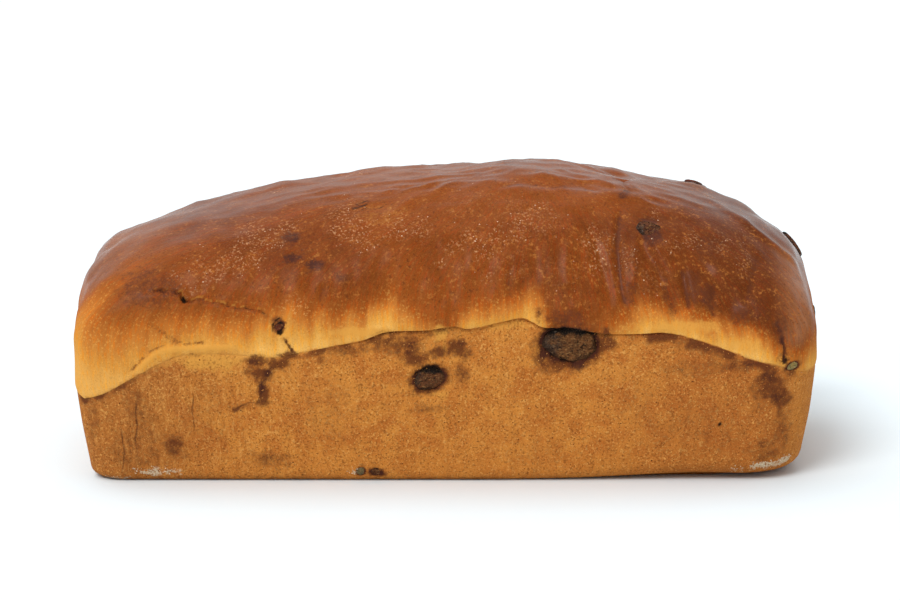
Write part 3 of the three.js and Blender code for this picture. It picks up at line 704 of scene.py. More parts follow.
# How far inside a fruit's outline each point lies, 0 in its middle and 1 at the outline, and how
# far up its face
def fruitReach(p, fruit):
    point, across, upward, outward = fruitFrame(fruit)
    long, wide, _ = fruit.size
    away = p - point
    u, v, w = away @ across, away @ upward, away @ outward
    return np.where(np.abs(w) < 9, np.hypot(u / (long / 2), v / (wide / 2)), 99), v


places, loafFaces, columns = loafSurface()
level, px, py = places.T
bare = bodyPoints(level, px, py)
along = alongOf(px, py)
outward = outwardAt(level, px, py)
outward[np.linalg.norm(outward, axis=1) < 0.5] = (0, 0, 1)
overTin = bare[:, 2] - curveAt(tinLine, along)
overSkin = bare[:, 2] - skinHeight(along)
crust = bare + outward * solidRelief(bare, along)[:, None]
fine = fineRelief(bare, along, overTin, overSkin)

# The crust dips or rises to meet each fruit's face, and runs on under it
pocket = np.zeros(len(bare))
rimOf = np.full(len(bare), 99.0)
wobble = crustDetail["pocketRagged"] * (noiseAt(bare, 2.9, 8.8) + 0.6 * noiseAt(bare, 1.2, 3.9))
for fruit in fruits.values():
    reach, _ = fruitReach(crust, fruit)
    bulge = bulgeOf(fruit)
    meets = fruit.proud - bulge + bulge * math.sqrt(1 - fruit.shows**2)
    bareFace = fruit.shows - reach - wobble
    dip = meets * (1 - smooth(-bareFace / crustDetail["pocketSlope"]))
    dip = dip - crustDetail["pocketUnder"] * smooth(bareFace / 0.22)
    pocket = np.where(reach < 1.8, dip, pocket)
    rimOf = np.minimum(rimOf, np.maximum(reach - 0.9, 0) * fruit.size[1] / 2)
fine = fine * np.clip(rimOf / 1.2, 0.1, 1) + pocket
points = crust + outward * (fine * smooth(bare[:, 2] / 2.5))[:, None]

# the lip sags over the tin line
sag = smooth((curveAt(lipReach, along) - 0.5) / 1.3)
sag = sag * (overTin > 0) * bell((overTin - 0.5) / 1.1)
points[:, 2] -= crustDetail["lipDroop"] * sag
print("crust shaped:", len(points), "points")


# Marks of the crust as one value at each point
ragged = 0.35 * noiseAt(points, 2.6, 1.7) + 0.3 * noiseAt(points, 6, 5.1)
onFront = (points[:, 1] < 0) | ((points[:, 2] > 86) & (points[:, 1] < 3))
marks = {name: np.zeros(len(points)) for name in ("stainAndShade", "juiceAndShade", "paintedShade", "goldAndHighlight", "dust")}


# A ragged oval patch round (middle, height), where across is x or the distance round the loaf
def ovalPatch(across, middle, height, wide, tall):
    distance = np.hypot((across - middle) / wide, (points[:, 2] - height) / tall)
    return smooth(1.35 - distance + ragged)


def addMark(kind, values):
    marks[kind] = np.maximum(marks[kind], values)


for kind, spots in patches.items():
    for x, z, wide, tall, power in spots:
        addMark(kind, np.where(onFront, power * ovalPatch(points[:, 0], x, z, wide, tall), 0))
for kind, spots in hiddenPatches.items():
    for place, z, wide, tall, power in spots:
        addMark(kind, power * ovalPatch(along, place, z, wide, tall))

# dark juice round every fruit, and painted shade inside its pocket and along its upper edge
for fruit in fruits.values():
    reach, up = fruitReach(crust, fruit)
    long, halfWide = fruit.size[0], fruit.size[1] / 2
    spread = (reach - fruit.shows) * halfWide + 1.2 * ragged
    addMark("stainAndShade", 0.85 * smooth(1 - spread / (1.0 + long * 0.13)))
    addMark("juiceAndShade", 0.95 * smooth(1.1 - spread / (0.4 + long * 0.045)))
    shade = 0.9 if fruit.proud < 0 else 0.405
    addMark("paintedShade", shade * smooth(-spread / 0.6))
    overEdge = bell((reach - 1) / 0.13) * smooth((up / halfWide - 0.35) / 0.4)
    addMark("paintedShade", shade * overEdge * (1 + ragged))

# the band that was baked on against the tin
under = -overTin / curveAt(bandHeight, along)
band = curveAt(bandPower, along) * smooth(under / 0.12) * smooth((1.7 - under) / 1.6)
blotchy = 0.85 + 0.9 * noiseAt(points, 4.2, 9.4) + 0.7 * ragged
addMark("stainAndShade", np.clip(band * blotchy, 0, 1))
# the crust darker along the foot
footEdge = smooth((2.6 - points[:, 2]) / 1.8) * (0.75 + ragged)
addMark("stainAndShade", np.clip(0.42 * footEdge, 0, 1))

# painted shade in the hollow of each fold, and a painted highlight on its ridge
for path, half, depth in creases.values():
    distance, _, share = reachOf(points, path)
    fold = tapered(share, creaseTaper) * (points[:, 1] < 0)
    line = abs(depth) * fold * bell(distance / (0.6 * half)) * (0.9 + 1.2 * ragged)
    if depth > 0:
        addMark("stainAndShade", np.clip(0.9 * line, 0, 0.8))
    else:
        addMark("goldAndHighlight", np.clip(1.3 * line * (1 - smooth((overTin - 8) / 4)), 0, 1))

# painted shade in the gap of the tear and in the crease under the lip, the tear's lifted edge paler and
# its inside reddish
inTear = tearReach(along)
ticks = noiseRound(along, 1.2, 6.6)
gape = np.maximum(0.6 * smooth(ticks * 3 + 0.3), 1.3 * bell((along - tearWidest) / 1.5))
gapHeight = np.where(np.abs(along - tearWidest) < 2, 0.8, 0.32)
addMark("paintedShade", np.clip(0.8 * inTear * gape * bell((overSkin - 0.1) / gapHeight), 0, 1))
addMark("goldAndHighlight", 0.7 * inTear * smooth(0.3 - ticks * 3) * bell((overSkin - 0.75) / 0.35))
lipShade = smooth(curveAt(lipReach, along) - 0.4) * bell((overTin + 0.15) / 0.4)
addMark("paintedShade", 0.5 * lipShade * (0.7 + 0.6 * noiseAt(bare, 6, 3.3)))
addMark("juiceAndShade", 0.35 * inTear * bell((overSkin + 0.2) / 1.2))

# thin cracks: signed distance to the nearest one, and how much it counts
crackOff = np.full(len(points), 5.0)
crackPower = np.zeros(len(points))
nearest = np.full(len(points), 1e9)
for path, half in thinCracks:
    distance, side, share = reachOf(points, path)
    distance = np.where(points[:, 1] < 0, distance, 99)
    near = distance < nearest
    nearest = np.where(near, distance, nearest)
    crackOff = np.where(near, side * np.minimum(distance, 5) / half, crackOff)
    crackPower = np.where(near, tapered(share, 0.1) * smooth((3 - distance) / 1.5), crackPower)

# how far the crust is baked: below 0 is pale dough, above 0 turns brown
bake = (points[:, 2] - curveAt(crustLine, along)) / curveAt(crustSoft, along)

# density of the blisters of the crown, which also places their painted glints
blisterGlint = 0.003 + 0.012 * smooth(noiseAt(points, 9, 14.2) * 2)
for x, z, size, power in sparkleSpots:
    spot = 0.9 * power * ovalPatch(points[:, 0], x, z, size, size)
    blisterGlint = np.maximum(blisterGlint, np.where(onFront, spot, 0))
backClusters = smooth(noiseAt(points, 11, 31.7) * 3 - 0.5)
blisterGlint = np.where(points[:, 1] > -8, np.maximum(blisterGlint, 0.5 * backClusters), blisterGlint)
clumps = smooth(noiseAt(points, 1.6, 22.3) * 2.6 + 0.25)
blisterGlint = blisterGlint * smooth((overTin - 8) / 5)

# a coordinate that winds round the loaf without a seam, for streaks that run down it
winding = 2 * math.pi * along / loopLength
radius = loopLength / (2 * math.pi)
crownClimb = loafForm["wideHeight"] + (level - 1) * math.pi / 2 * 54
climb = np.where(level > 1, crownClimb, bare[:, 2])
wrap = np.stack([radius * np.cos(winding), radius * np.sin(winding), climb], axis=1)
print("crust marked")


def meshObject(name, points, faces, smoothShade=True):
    mesh = bpy.data.meshes.new(name)
    mesh.from_pydata((np.asarray(points) * mm).tolist(), [], faces)
    if smoothShade:
        mesh.polygons.foreach_set("use_smooth", [True] * len(mesh.polygons))
    mesh.update()
    made = bpy.data.objects.new(name, mesh)
    bpy.context.scene.collection.objects.link(made)
    return made


def addValues(made, name, values, kind="FLOAT"):
    attribute = made.data.attributes.new(name, kind, "POINT")
    field = "value" if kind == "FLOAT" else "vector"
    attribute.data.foreach_set(field, np.asarray(values, dtype=np.float32).ravel())


allPoints, allFaces = addBase(points, loafFaces, columns)
below = len(allPoints) - len(points)


# The base carries on from the edge that it starts at
def withBase(values, baseValue):
    extra = np.full((below,) + values.shape[1:], float(baseValue))
    return np.concatenate([values, extra])


loaf = meshObject("brioche_loaf", allPoints, allFaces)
for name, values in marks.items():
    addValues(loaf, name, withBase(np.clip(values, 0, 1), 0))
addValues(loaf, "overTin", withBase(overTin, -30))
addValues(loaf, "bake", withBase(bake, -6))
addValues(loaf, "streaky", withBase(4 / curveAt(crustSoft, along), 1))
addValues(loaf, "seamFade", withBase(curveAt(seamSoft, along), 1))
addValues(loaf, "crackOff", withBase(crackOff, 5))
addValues(loaf, "crackPower", withBase(crackPower, 0))
addValues(loaf, "blisterGlint", withBase(blisterGlint, 0))
baseWrap = allPoints[len(points):] + (0, 0, -60)
addValues(loaf, "wrap", np.concatenate([wrap, baseWrap]), "FLOAT_VECTOR")
print("loaf mesh:", len(loaf.data.vertices), "vertices")


# A colour as a painter reads it, 0 to 255, turned to what the shader wants
def paint(r, g, b):
    channels = [c / 255 for c in (r, g, b)]
    linear = [c / 12.92 if c <= 0.04045 else ((c + 0.055) / 1.055) ** 2.4 for c in channels]
    return (*linear, 1)


# Short calls that add nodes to one tree. Most give back the socket to go on with.
class Nodes:
    def __init__(self, tree):
        self.tree = tree

    def feed(self, socket, value):
        if isinstance(value, bpy.types.NodeSocket):
            self.tree.links.new(value, socket)
        else:
            socket.default_value = value

    def add(self, kind, inputs=None, **settings):
        node = self.tree.nodes.new(kind)
        for key, value in settings.items():
            setattr(node, key, value)
        for key, value in (inputs or {}).items():
            self.feed(node.inputs[key], value)
        return node

    def math(self, operation, a, b=0.0, c=0.0, clamp=False):
        inputs = {0: a, 1: b, 2: c}
        return self.add("ShaderNodeMath", inputs, operation=operation, use_clamp=clamp).outputs[0]

    def times(self, a, b):
        return self.math("MULTIPLY", a, b)

    def timesPlus(self, a, b, c):
        return self.math("MULTIPLY_ADD", a, b, c)

    def plus(self, a, b):
        return self.math("ADD", a, b)

    def minus(self, a, b):
        return self.math("SUBTRACT", a, b)

    def blend(self, factor, a, b, way="MIX"):
        inputs = {0: factor, 6: a, 7: b}
        return self.add("ShaderNodeMix", inputs, data_type="RGBA", blend_type=way).outputs[2]

    # Paints laid over a colour in turn, each where its mask says
    def layers(self, colour, paints, masks):
        for mask, name in masks:
            colour = self.blend(mask, colour, paints[name])
        return colour

    def blendValue(self, factor, a, b):
        return self.add("ShaderNodeMix", {0: factor, 2: a, 3: b}, data_type="FLOAT").outputs[0]

    def stepUp(self, value, low, high, toLow=0.0, toHigh=1.0):
        inputs = {0: value, 1: low, 2: high, 3: toLow, 4: toHigh}
        return self.add("ShaderNodeMapRange", inputs, interpolation_type="SMOOTHSTEP").outputs[0]

    def ramp(self, value, stops):
        node = self.add("ShaderNodeValToRGB", {0: value})
        points = node.color_ramp.elements
        while len(points) < len(stops):
            points.new(0.5)
        for point, (position, colour) in zip(points, stops):
            point.position = position
            point.color = colour
        return node.outputs[0]

    def read(self, name, output="Fac"):
        return self.add("ShaderNodeAttribute", attribute_name=name).outputs[output]

    def vector(self, operation, vector, other):
        key = "Scale" if operation == "SCALE" else 1
        return self.add("ShaderNodeVectorMath", {0: vector, key: other}, operation=operation).outputs[0]

    def separate(self, vector):
        return self.add("ShaderNodeSeparateXYZ", {0: vector}).outputs[:3]

    def combine(self, x=0.0, y=0.0, z=0.0):
        return self.add("ShaderNodeCombineXYZ", {0: x, 1: y, 2: z}).outputs[0]

    def noise(self, vector, detail, roughness, scale=1.0, distortion=0.0):
        inputs = {"Vector": vector, "Scale": scale, "Detail": detail, "Roughness": roughness}
        return self.add("ShaderNodeTexNoise", {**inputs, "Distortion": distortion}).outputs[0]

    def group(self, group, **inputs):
        return self.add("ShaderNodeGroup", inputs, node_tree=group).outputs

    def bump(self, height, strength):
        inputs = {"Height": height, "Strength": strength, "Distance": mm}
        return self.add("ShaderNodeBump", inputs).outputs[0]

    def finish(self, shader, values):
        for label, value in values.items():
            self.feed(shader.inputs[label], value)

    def random(self, low, high, seed):
        inputs = {2: low, 3: high, "Seed": seed}
        return self.add("FunctionNodeRandomValue", inputs, data_type="FLOAT").outputs[1]

    def store(self, shape, name, value, domain="POINT"):
        inputs = {"Geometry": shape, "Name": name, "Value": value}
        settings = {"data_type": "FLOAT", "domain": domain}
        return self.add("GeometryNodeStoreNamedAttribute", inputs, **settings).outputs[0]

    # A geometry tree's end: instances made real, and the material set
    def close(self, shape, finish, result):
        whole = self.add("GeometryNodeRealizeInstances", {"Geometry": shape}).outputs[0]
        coated = self.add("GeometryNodeSetMaterial", {"Geometry": whole, "Material": finish})
        self.feed(result.inputs[0], coated.outputs[0])


# A tree's named sockets, with its first and last node
def openTree(tree, inputs, outputs):
    for label, kind, value in inputs:
        socket = tree.interface.new_socket(label, in_out="INPUT", socket_type="NodeSocket" + kind)
        if value is not None:
            socket.default_value = value
    for label, kind in outputs:
        tree.interface.new_socket(label, in_out="OUTPUT", socket_type="NodeSocket" + kind)
    return Nodes(tree), tree.nodes.new("NodeGroupInput").outputs, tree.nodes.new("NodeGroupOutput")


# A shader group, which fill makes from its inner nodes
def shaderGroup(name, inputs, outputs, fill):
    tree = bpy.data.node_groups.new(name, "ShaderNodeTree")
    nodes, inner, result = openTree(tree, inputs, [(label, "Float") for label in outputs])
    for label, socket in zip(outputs, fill(nodes, inner)):
        nodes.feed(result.inputs[label], socket)
    return tree


def geometryTree(name, inputs):
    tree = bpy.data.node_groups.new(name, "GeometryNodeTree")
    tree.is_modifier = True
    return tree, *openTree(tree, inputs, [("Geometry", "Geometry")])


# Uneven patches of a given size in millimetres, pushed apart between Low and High
def fillMottle(nodes, inner):
    vector = nodes.vector("SCALE", inner["Vector"], nodes.math("DIVIDE", 1.0, inner["Size"]))
    value = nodes.noise(vector, 4.0, 0.55)
    return [nodes.stepUp(value, inner["Low"], inner["High"]), value]


# Fine grain: light specks, dark specks and a height
def fillGrain(nodes, inner):
    vector = nodes.vector("SCALE", inner["Vector"], nodes.math("DIVIDE", 1.0, inner["Size"]))
    moved = nodes.vector("ADD", vector, (31.7, 12.1, 7.9))
    first = nodes.noise(vector, 3.0, 0.62)
    dark = nodes.stepUp(nodes.noise(moved, 3.0, 0.62, 1.25), 0.55, 0.7)
    return [nodes.stepUp(first, 0.53, 0.69), dark, nodes.minus(first, nodes.times(dark, 0.5))]


vectorInput = ("Vector", "Vector", None)
mottle = shaderGroup("mottle", [vectorInput, ("Size", "Float", 8.0), ("Low", "Float", 0.4),
                                ("High", "Float", 0.6)], ["Mask", "Value"], fillMottle)
grain = shaderGroup("grain", [vectorInput, ("Size", "Float", 1.0)], ["Light", "Dark", "Height"],
                    fillGrain)


# A material with its own Principled shader, and Object coordinates in millimetres
def newMaterial(name):
    material = bpy.data.materials.new(name)
    material.use_nodes = True
    nodes = Nodes(material.node_tree)
    coordinates = nodes.add("ShaderNodeTexCoord").outputs["Object"]
    place = nodes.vector("SCALE", coordinates, 1 / mm)
    return material, nodes, material.node_tree.nodes["Principled BSDF"], place


breadPaint = {
    "wall": paint(181, 104, 41),
    "wallLight": paint(204, 130, 55),
    "wallLeft": paint(164, 96, 43),
    "wallRight": paint(165, 90, 37),
    "speckLight": paint(226, 162, 86),
    "speckDark": paint(128, 68, 26),
    "doughPale": paint(233, 176, 92),
    "dough": paint(214, 150, 66),
    "orange": paint(187, 114, 47),
    "brown": paint(152, 80, 27),
    "chestnut": paint(128, 63, 15),
    "crown": paint(116, 55, 12),
    "crownDark": paint(84, 38, 11),
    "crownLight": paint(148, 77, 19),
    "glint": paint(172, 104, 44),
    # painted sheen for the right end's corner
    "paintedCornerSheen": paint(164, 108, 72),
    "blisterGlint": paint(222, 164, 114),
    "stainAndShade": paint(94, 47, 25),
    "juiceAndShade": paint(68, 35, 27),
    # near black, for painted shade
    "paintedShade": paint(24, 14, 9),
    "dust": paint(204, 184, 154),
}

# Sizes of patches and grain in millimetres, and how the crust shines
crustLook = {
    "broad": 26.0,
    "middling": 6.5,
    "small": 2.2,
    "crumbs": 0.85,
    "dots": 0.42,
    "flakes": 1.3,
    "wallRoughness": 0.82,
    "glazeRoughness": 0.5,
    "coatRoughness": 0.26,
    "coatIor": 1.5,
    "specular": 0.06,
    "bump": 0.9,
}


def breadMaterial():
    material, nodes, shader, place = newMaterial("baked_crust")
    times, plus, minus, stepUp = nodes.times, nodes.plus, nodes.minus, nodes.stepUp
    look = crustLook
    wrapped = nodes.read("wrap", "Vector")
    baked = nodes.read("bake")
    x, y, z = nodes.separate(place)

    broad = nodes.group(mottle, Vector=place, Size=look["broad"], Low=0.36, High=0.64)
    middling = nodes.group(mottle, Vector=place, Size=look["middling"], Low=0.36, High=0.66)
    small = nodes.group(mottle, Vector=place, Size=look["small"], Low=0.38, High=0.66)
    crumbs, dots, flakes = (nodes.group(grain, Vector=place, Size=look[name])
                            for name in ("crumbs", "dots", "flakes"))

    # streaks that run down the loaf: how tight they are round it and up it, detail and roughness
    def streaks(tight, tightUp, detail, roughness):
        return nodes.noise(nodes.vector("MULTIPLY", wrapped, (tight, tight, tightUp)), detail, roughness)

    down = streaks(0.5, 0.07, 3.0, 0.6)
    wideDown = streaks(0.16, 0.04, 2.0, 0.5)
    fibre = streaks(1.5, 0.3, 3.0, 0.6)
    scratches = streaks(0.9, 0.2, 3.0, 0.65)
    wrinkles = streaks(0.75, 0.4, 4.0, 0.6)
    jitter = minus(small["Value"], 0.5)

    # wall: tan and grainy, greyer on the left and redder on the right
    onLeft = stepUp(x, -30.0, -70.0, 0.06, 0.3)
    wall = nodes.blend(middling["Mask"], breadPaint["wall"], breadPaint["wallLight"])
    wall = nodes.layers(wall, breadPaint, [
        (times(broad["Mask"], 0.35), "wallLight"),
        (stepUp(z, 15.0, 4.0, 0.0, 0.5), "wallLight"),
        (stepUp(x, -62.0, -104.0, 0.0, 0.7), "wallLeft"),
        (stepUp(x, 44.0, 88.0, 0.0, 0.62), "wallRight"),
        (stepUp(x, 109.0, 118.0, 0.0, 0.6), "wallLight"),
        (stepUp(down, 0.42, 0.7, 0.0, 0.16), "speckDark"),
        (times(stepUp(scratches, 0.5, 0.7), onLeft), "speckDark"),
        (times(stepUp(scratches, 0.47, 0.32), onLeft), "speckLight"),
        (times(crumbs["Dark"], 0.6), "speckDark"),
        (times(crumbs["Light"], 0.7), "speckLight"),
        (times(dots["Light"], 0.45), "speckLight"),
        (times(dots["Dark"], 0.35), "speckDark"),
    ])

    # crown: pale stretched dough that turns brown in streaks
    shift = plus(times(minus(down, 0.5), 1.7), times(minus(wideDown, 0.5), 3.2))
    level = plus(baked, times(shift, nodes.read("streaky")))
    stops = [(0.0, "doughPale"), (0.13, "dough"), (0.25, "orange"), (0.36, "brown"), (0.5, "chestnut"),
             (0.75, "crown")]
    skin = nodes.ramp(times(plus(level, 2.0), 0.125), [(at, breadPaint[name]) for at, name in stops])
    done = stepUp(baked, 0.6, 2.0)
    raw = minus(1.0, done)
    inMiddle = times(stepUp(x, -46.0, -24.0, 0.0, 0.3), stepUp(x, 24.0, 0.0))
    cornerSheen = times(stepUp(x, 106.0, 119.0, 0.0, 0.95), stepUp(y, -14.0, -30.0))
    gathered = stepUp(middling["Value"], 0.42, 0.62, 0.2, 0.85)
    glinting = times(stepUp(nodes.read("blisterGlint"), 0.05, 0.6), crumbs["Light"])
    skin = nodes.layers(skin, breadPaint, [
        (stepUp(x, -84.0, -108.0, 0.0, 0.22), "orange"),
        (times(inMiddle, done), "crownLight"),
        (times(broad["Mask"], times(done, 0.42)), "crownDark"),
        (times(middling["Mask"], times(done, 0.4)), "crownLight"),
        (times(stepUp(z, 84.0, 95.0, 0.0, 0.5), done), "crownLight"),
        (times(stepUp(x, 45.0, 105.0, 0.0, 0.6), done), "crownDark"),
        # painted sheen on the corner of the right end
        (times(times(cornerSheen, done), stepUp(down, 0.3, 0.7, 0.6, 1.0)), "paintedCornerSheen"),
        (times(times(crumbs["Light"], raw), 0.35), "doughPale"),
        (times(times(crumbs["Dark"], raw), 0.18), "orange"),
    ])
    skin = nodes.blend(stepUp(fibre, 0.45, 0.68, 0.0, 0.55), skin, breadPaint["doughPale"], "SOFT_LIGHT")
    skin = nodes.layers(skin, breadPaint, [
        (times(dots["Dark"], 0.3), "crownDark"),
        (times(dots["Light"], 0.3), "glint"),
        (times(times(flakes["Light"], done), gathered), "glint"),
        (times(times(flakes["Dark"], done), 0.55), "crownDark"),
        # painted glints where the blisters gather
        (times(glinting, 0.55), "blisterGlint"),
    ])
    fade = nodes.read("seamFade")
    onCrown = stepUp(plus(nodes.read("overTin"), times(jitter, 3.0)), times(fade, -1.0), fade)
    colour = nodes.blend(onCrown, wall, skin)

    # marks, some of them painted shade or painted highlight, and the painted shade of the thin cracks:
    # each one is broken up by the grain
    rough = minus(plus(small["Value"], crumbs["Height"]), 0.95)

    def mark(name, low, high, breakUp, most):
        plain = nodes.read(name)
        value = plus(plain, times(rough, breakUp))
        return times(stepUp(value, low, high), stepUp(plain, 0.0, 0.16, 0.0, most))

    off = nodes.math("ABSOLUTE", plus(nodes.read("crackOff"), times(jitter, 2.5)))
    crack = times(stepUp(off, 1.3, 0.4), nodes.read("crackPower"))
    crack = times(crack, stepUp(middling["Value"], 0.3, 0.6, 0.35, 1.0))
    colour = nodes.layers(colour, breadPaint, [
        (mark("goldAndHighlight", 0.15, 0.95, 0.5, 0.85), "dough"),
        (mark("stainAndShade", 0.1, 0.85, 0.9, 0.9), "stainAndShade"),
        (mark("juiceAndShade", 0.15, 0.9, 0.6, 0.9), "juiceAndShade"),
        (mark("paintedShade", 0.12, 0.8, 0.2, 0.97), "paintedShade"),
        # painted shade in the thin cracks
        (times(crack, 0.6), "juiceAndShade"),
        (mark("dust", 0.3, 0.75, 1.6, 0.9), "dust"),
    ])

    # the glaze, which shows most where the crown turns away
    glazed = stepUp(baked, 0.3, 2.2)
    roughness = nodes.blendValue(glazed, look["wallRoughness"], look["glazeRoughness"])
    uneven = times(minus(middling["Value"], 0.5), 0.3)
    facing = nodes.add("ShaderNodeLayerWeight", {"Blend": 0.5}).outputs["Facing"]
    brushed = plus(stepUp(facing, 0.4, 0.84, 0.03, 1.0), stepUp(middling["Value"], 0.3, 0.7, 0.0, 0.1))
    brushed = times(brushed, stepUp(x, -30.0, 25.0, 0.68, 1.0))

    # bump in millimetres: coarse grain on the wall, pores and fine wrinkles on the crown
    wallHeight = plus(times(crumbs["Height"], 0.5), times(small["Value"], 0.3))
    crownHeight = plus(times(dots["Height"], 0.07), times(wrinkles, 0.28))
    crownHeight = plus(crownHeight, times(down, 0.14))
    height = minus(nodes.blendValue(onCrown, wallHeight, crownHeight), times(crack, 0.3))
    nodes.finish(shader, {
        "Base Color": colour,
        "Roughness": nodes.math("ADD", roughness, uneven, clamp=True),
        "Coat Weight": times(glazed, brushed),
        "Coat Roughness": look["coatRoughness"],
        "Coat IOR": look["coatIor"],
        "Specular IOR Level": look["specular"],
        "Normal": nodes.bump(height, look["bump"]),
    })
    return material


loaf.data.materials.append(breadMaterial())
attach(loaf, "root")
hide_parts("loaf")
print("crust material done")


# A shrivelled fruit: a ball with folds round its edge, crinkled on its face, with its outer half
# only as high as Face and its inner half as deep as Depth
def fruitTree():
    tree, nodes, inner, result = geometryTree("shrivelledFruit", [
        ("Geometry", "Geometry", None), ("Length", "Float", 10.0), ("Width", "Float", 8.0),
        ("Face", "Float", 1.0), ("Depth", "Float", 3.0), ("Seat", "Float", 0.0),
        ("Wrinkle", "Float", 0.07), ("Crinkle", "Float", 0.3), ("Crinkle Size", "Float", 2.0),
        ("Shift", "Float", 0.0), ("Hue", "Float", 0.0), ("Finish", "Material", None)])
    times, plus, minus, timesPlus = nodes.times, nodes.plus, nodes.minus, nodes.timesPlus
    x, y, z = nodes.separate(nodes.add("GeometryNodeInputPosition").outputs[0])
    bearing = nodes.math("ARCTAN2", y, x)
    lean = plus(times(z, 3.0), inner["Length"])
    broad = nodes.math("SINE", timesPlus(bearing, 3.0, lean))
    narrow = nodes.math("SINE", timesPlus(bearing, 7.0, inner["Width"]))
    folds = timesPlus(broad, 0.6, times(narrow, 0.4))
    shrink = minus(1.0, times(inner["Wrinkle"], plus(folds, 1.0)))
    newX = times(x, times(times(inner["Length"], 0.5), shrink))
    newY = times(y, times(times(inner["Width"], 0.5), shrink))
    above = nodes.math("GREATER_THAN", z, 0.0)
    tall = nodes.blendValue(above, inner["Depth"], inner["Face"])

    # ridged crinkles, highest away from the rim
    spot = nodes.combine(newX, newY, inner["Shift"])
    ridged = nodes.noise(spot, 4.0, 0.6, nodes.math("DIVIDE", 1.0, inner["Crinkle Size"]), 1.2)
    ridged = timesPlus(nodes.math("ABSOLUTE", minus(ridged, 0.5)), -6.0, 0.55)
    rise = times(times(ridged, inner["Crinkle"]), above)
    rise = times(rise, nodes.math("MINIMUM", times(z, 2.0), 1.0))
    moved = nodes.combine(newX, newY, timesPlus(z, tall, plus(inner["Seat"], rise)))

    shape = nodes.add("GeometryNodeMeshIcoSphere", {"Radius": 1.0, "Subdivisions": 6}).outputs[0]
    rim = nodes.math("SQRT", minus(1.0, times(z, z)))
    for name, value in (("rim", rim), ("fold", ridged), ("hue", inner["Hue"])):
        shape = nodes.store(shape, name, value)
    shape = nodes.add("GeometryNodeSetPosition", {"Geometry": shape, "Position": moved}).outputs[0]
    shape = nodes.add("GeometryNodeSetShadeSmooth", {"Geometry": shape}).outputs[0]
    nodes.close(shape, inner["Finish"], result)
    return tree


# Runs a tree on a mesh with the given inputs and gives back the result as a plain mesh
def runTree(tree, host, values):
    modifier = host.modifiers.new(tree.name, "NODES")
    modifier.node_group = tree
    for item in tree.interface.items_tree:
        if item.in_out == "INPUT" and item.name in values:
            modifier[item.identifier] = values[item.name]
    host.update_tag()
    view = bpy.context.evaluated_depsgraph_get()
    mesh = bpy.data.meshes.new_from_object(host.evaluated_get(view), depsgraph=view)
    host.modifiers.remove(modifier)
    return mesh


fruitPaint = {
    "olive": paint(114, 70, 34),
    "purple": paint(104, 56, 32),
    "red": paint(124, 44, 24),
    "dark": paint(66, 39, 20),
    "fold": paint(42, 25, 14),
    "shade": paint(15, 10, 7),
    "wetSheen": paint(52, 41, 35),
    "bloom": paint(178, 132, 80),
}
peelPaint = {
    "green": paint(158, 124, 54),
    "deepGreen": paint(108, 94, 40),
    "dark": paint(62, 50, 26),
    "rim": paint(72, 52, 26),
    "sugar": paint(196, 160, 92),
}


def raisinMaterial():
    material, nodes, shader, place = newMaterial("raisin_skin")
    times, plus, stepUp = nodes.times, nodes.plus, nodes.stepUp
    patchy = nodes.group(mottle, Vector=place, Size=2.6, Low=0.36, High=0.64)
    specks = nodes.group(grain, Vector=place, Size=0.5)
    combed = nodes.vector("MULTIPLY", place, (0.8, 1.0, 1.7))
    threads = nodes.group(grain, Vector=combed, Size=0.8)
    uneven = times(nodes.minus(patchy["Value"], 0.5), 1.1)
    wetSheen = stepUp(plus(times(nodes.read("across"), -1.0), uneven), 0.3, 0.7, 0.0, 0.75)
    upward = plus(nodes.read("upper"), times(uneven, 0.7))
    hues = [(0.0, fruitPaint["olive"]), (0.5, fruitPaint["purple"]), (1.0, fruitPaint["red"])]

    # the left part is wet, with real gloss and grey painted sheen, the border dark, and the upper edge
    # gets painted shade
    colour = nodes.layers(nodes.ramp(nodes.read("hue"), hues), fruitPaint, [
        (times(patchy["Mask"], 0.42), "dark"),
        # painted shade in the low parts of the crinkles
        (stepUp(nodes.read("fold"), 0.3, -0.4, 0.0, 0.8), "fold"),
        (times(threads["Dark"], 0.7), "fold"),
        (times(threads["Light"], 0.5), "bloom"),
        (wetSheen, "wetSheen"),
        (stepUp(plus(nodes.read("rim"), times(uneven, 0.5)), 0.7, 0.98, 0.0, 0.7), "fold"),
        (stepUp(upward, 0.4, 0.62, 0.0, 0.95), "shade"),
        (times(specks["Light"], 0.2), "bloom"),
    ])
    height = plus(times(specks["Height"], 0.3), times(threads["Height"], 0.5))
    nodes.finish(shader, {
        "Base Color": colour,
        "Roughness": nodes.blendValue(patchy["Value"], 0.32, 0.62),
        "Coat Weight": times(plus(times(wetSheen, 0.9), 0.08), specks["Light"]),
        "Coat Roughness": 0.15,
        "Specular IOR Level": 0.12,
        "Normal": nodes.bump(height, 1.0),
    })
    return material


def peelMaterial():
    material, nodes, shader, place = newMaterial("candied_peel")
    patchy = nodes.group(mottle, Vector=place, Size=1.2, Low=0.35, High=0.65)
    specks = nodes.group(grain, Vector=place, Size=0.35)
    colour = nodes.layers(peelPaint["green"], peelPaint, [
        (patchy["Mask"], "deepGreen"),
        (nodes.read("hue"), "dark"),
        (nodes.times(specks["Dark"], 0.7), "dark"),
        (nodes.stepUp(nodes.read("rim"), 0.7, 1.0, 0.0, 0.75), "rim"),
        (nodes.times(specks["Light"], 0.5), "sugar"),
    ])
    nodes.finish(shader, {
        "Base Color": colour,
        "Roughness": nodes.blendValue(patchy["Value"], 0.3, 0.55),
        "Normal": nodes.bump(nodes.times(specks["Height"], 0.2), 0.8),
    })
    return material


# Puts a finished mesh in the scene on the loaf's body
def addPiece(name, mesh, slot):
    mesh.name = name
    piece = bpy.data.objects.new(name, mesh)
    bpy.context.scene.collection.objects.link(piece)
    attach(piece, "root")
    return piece


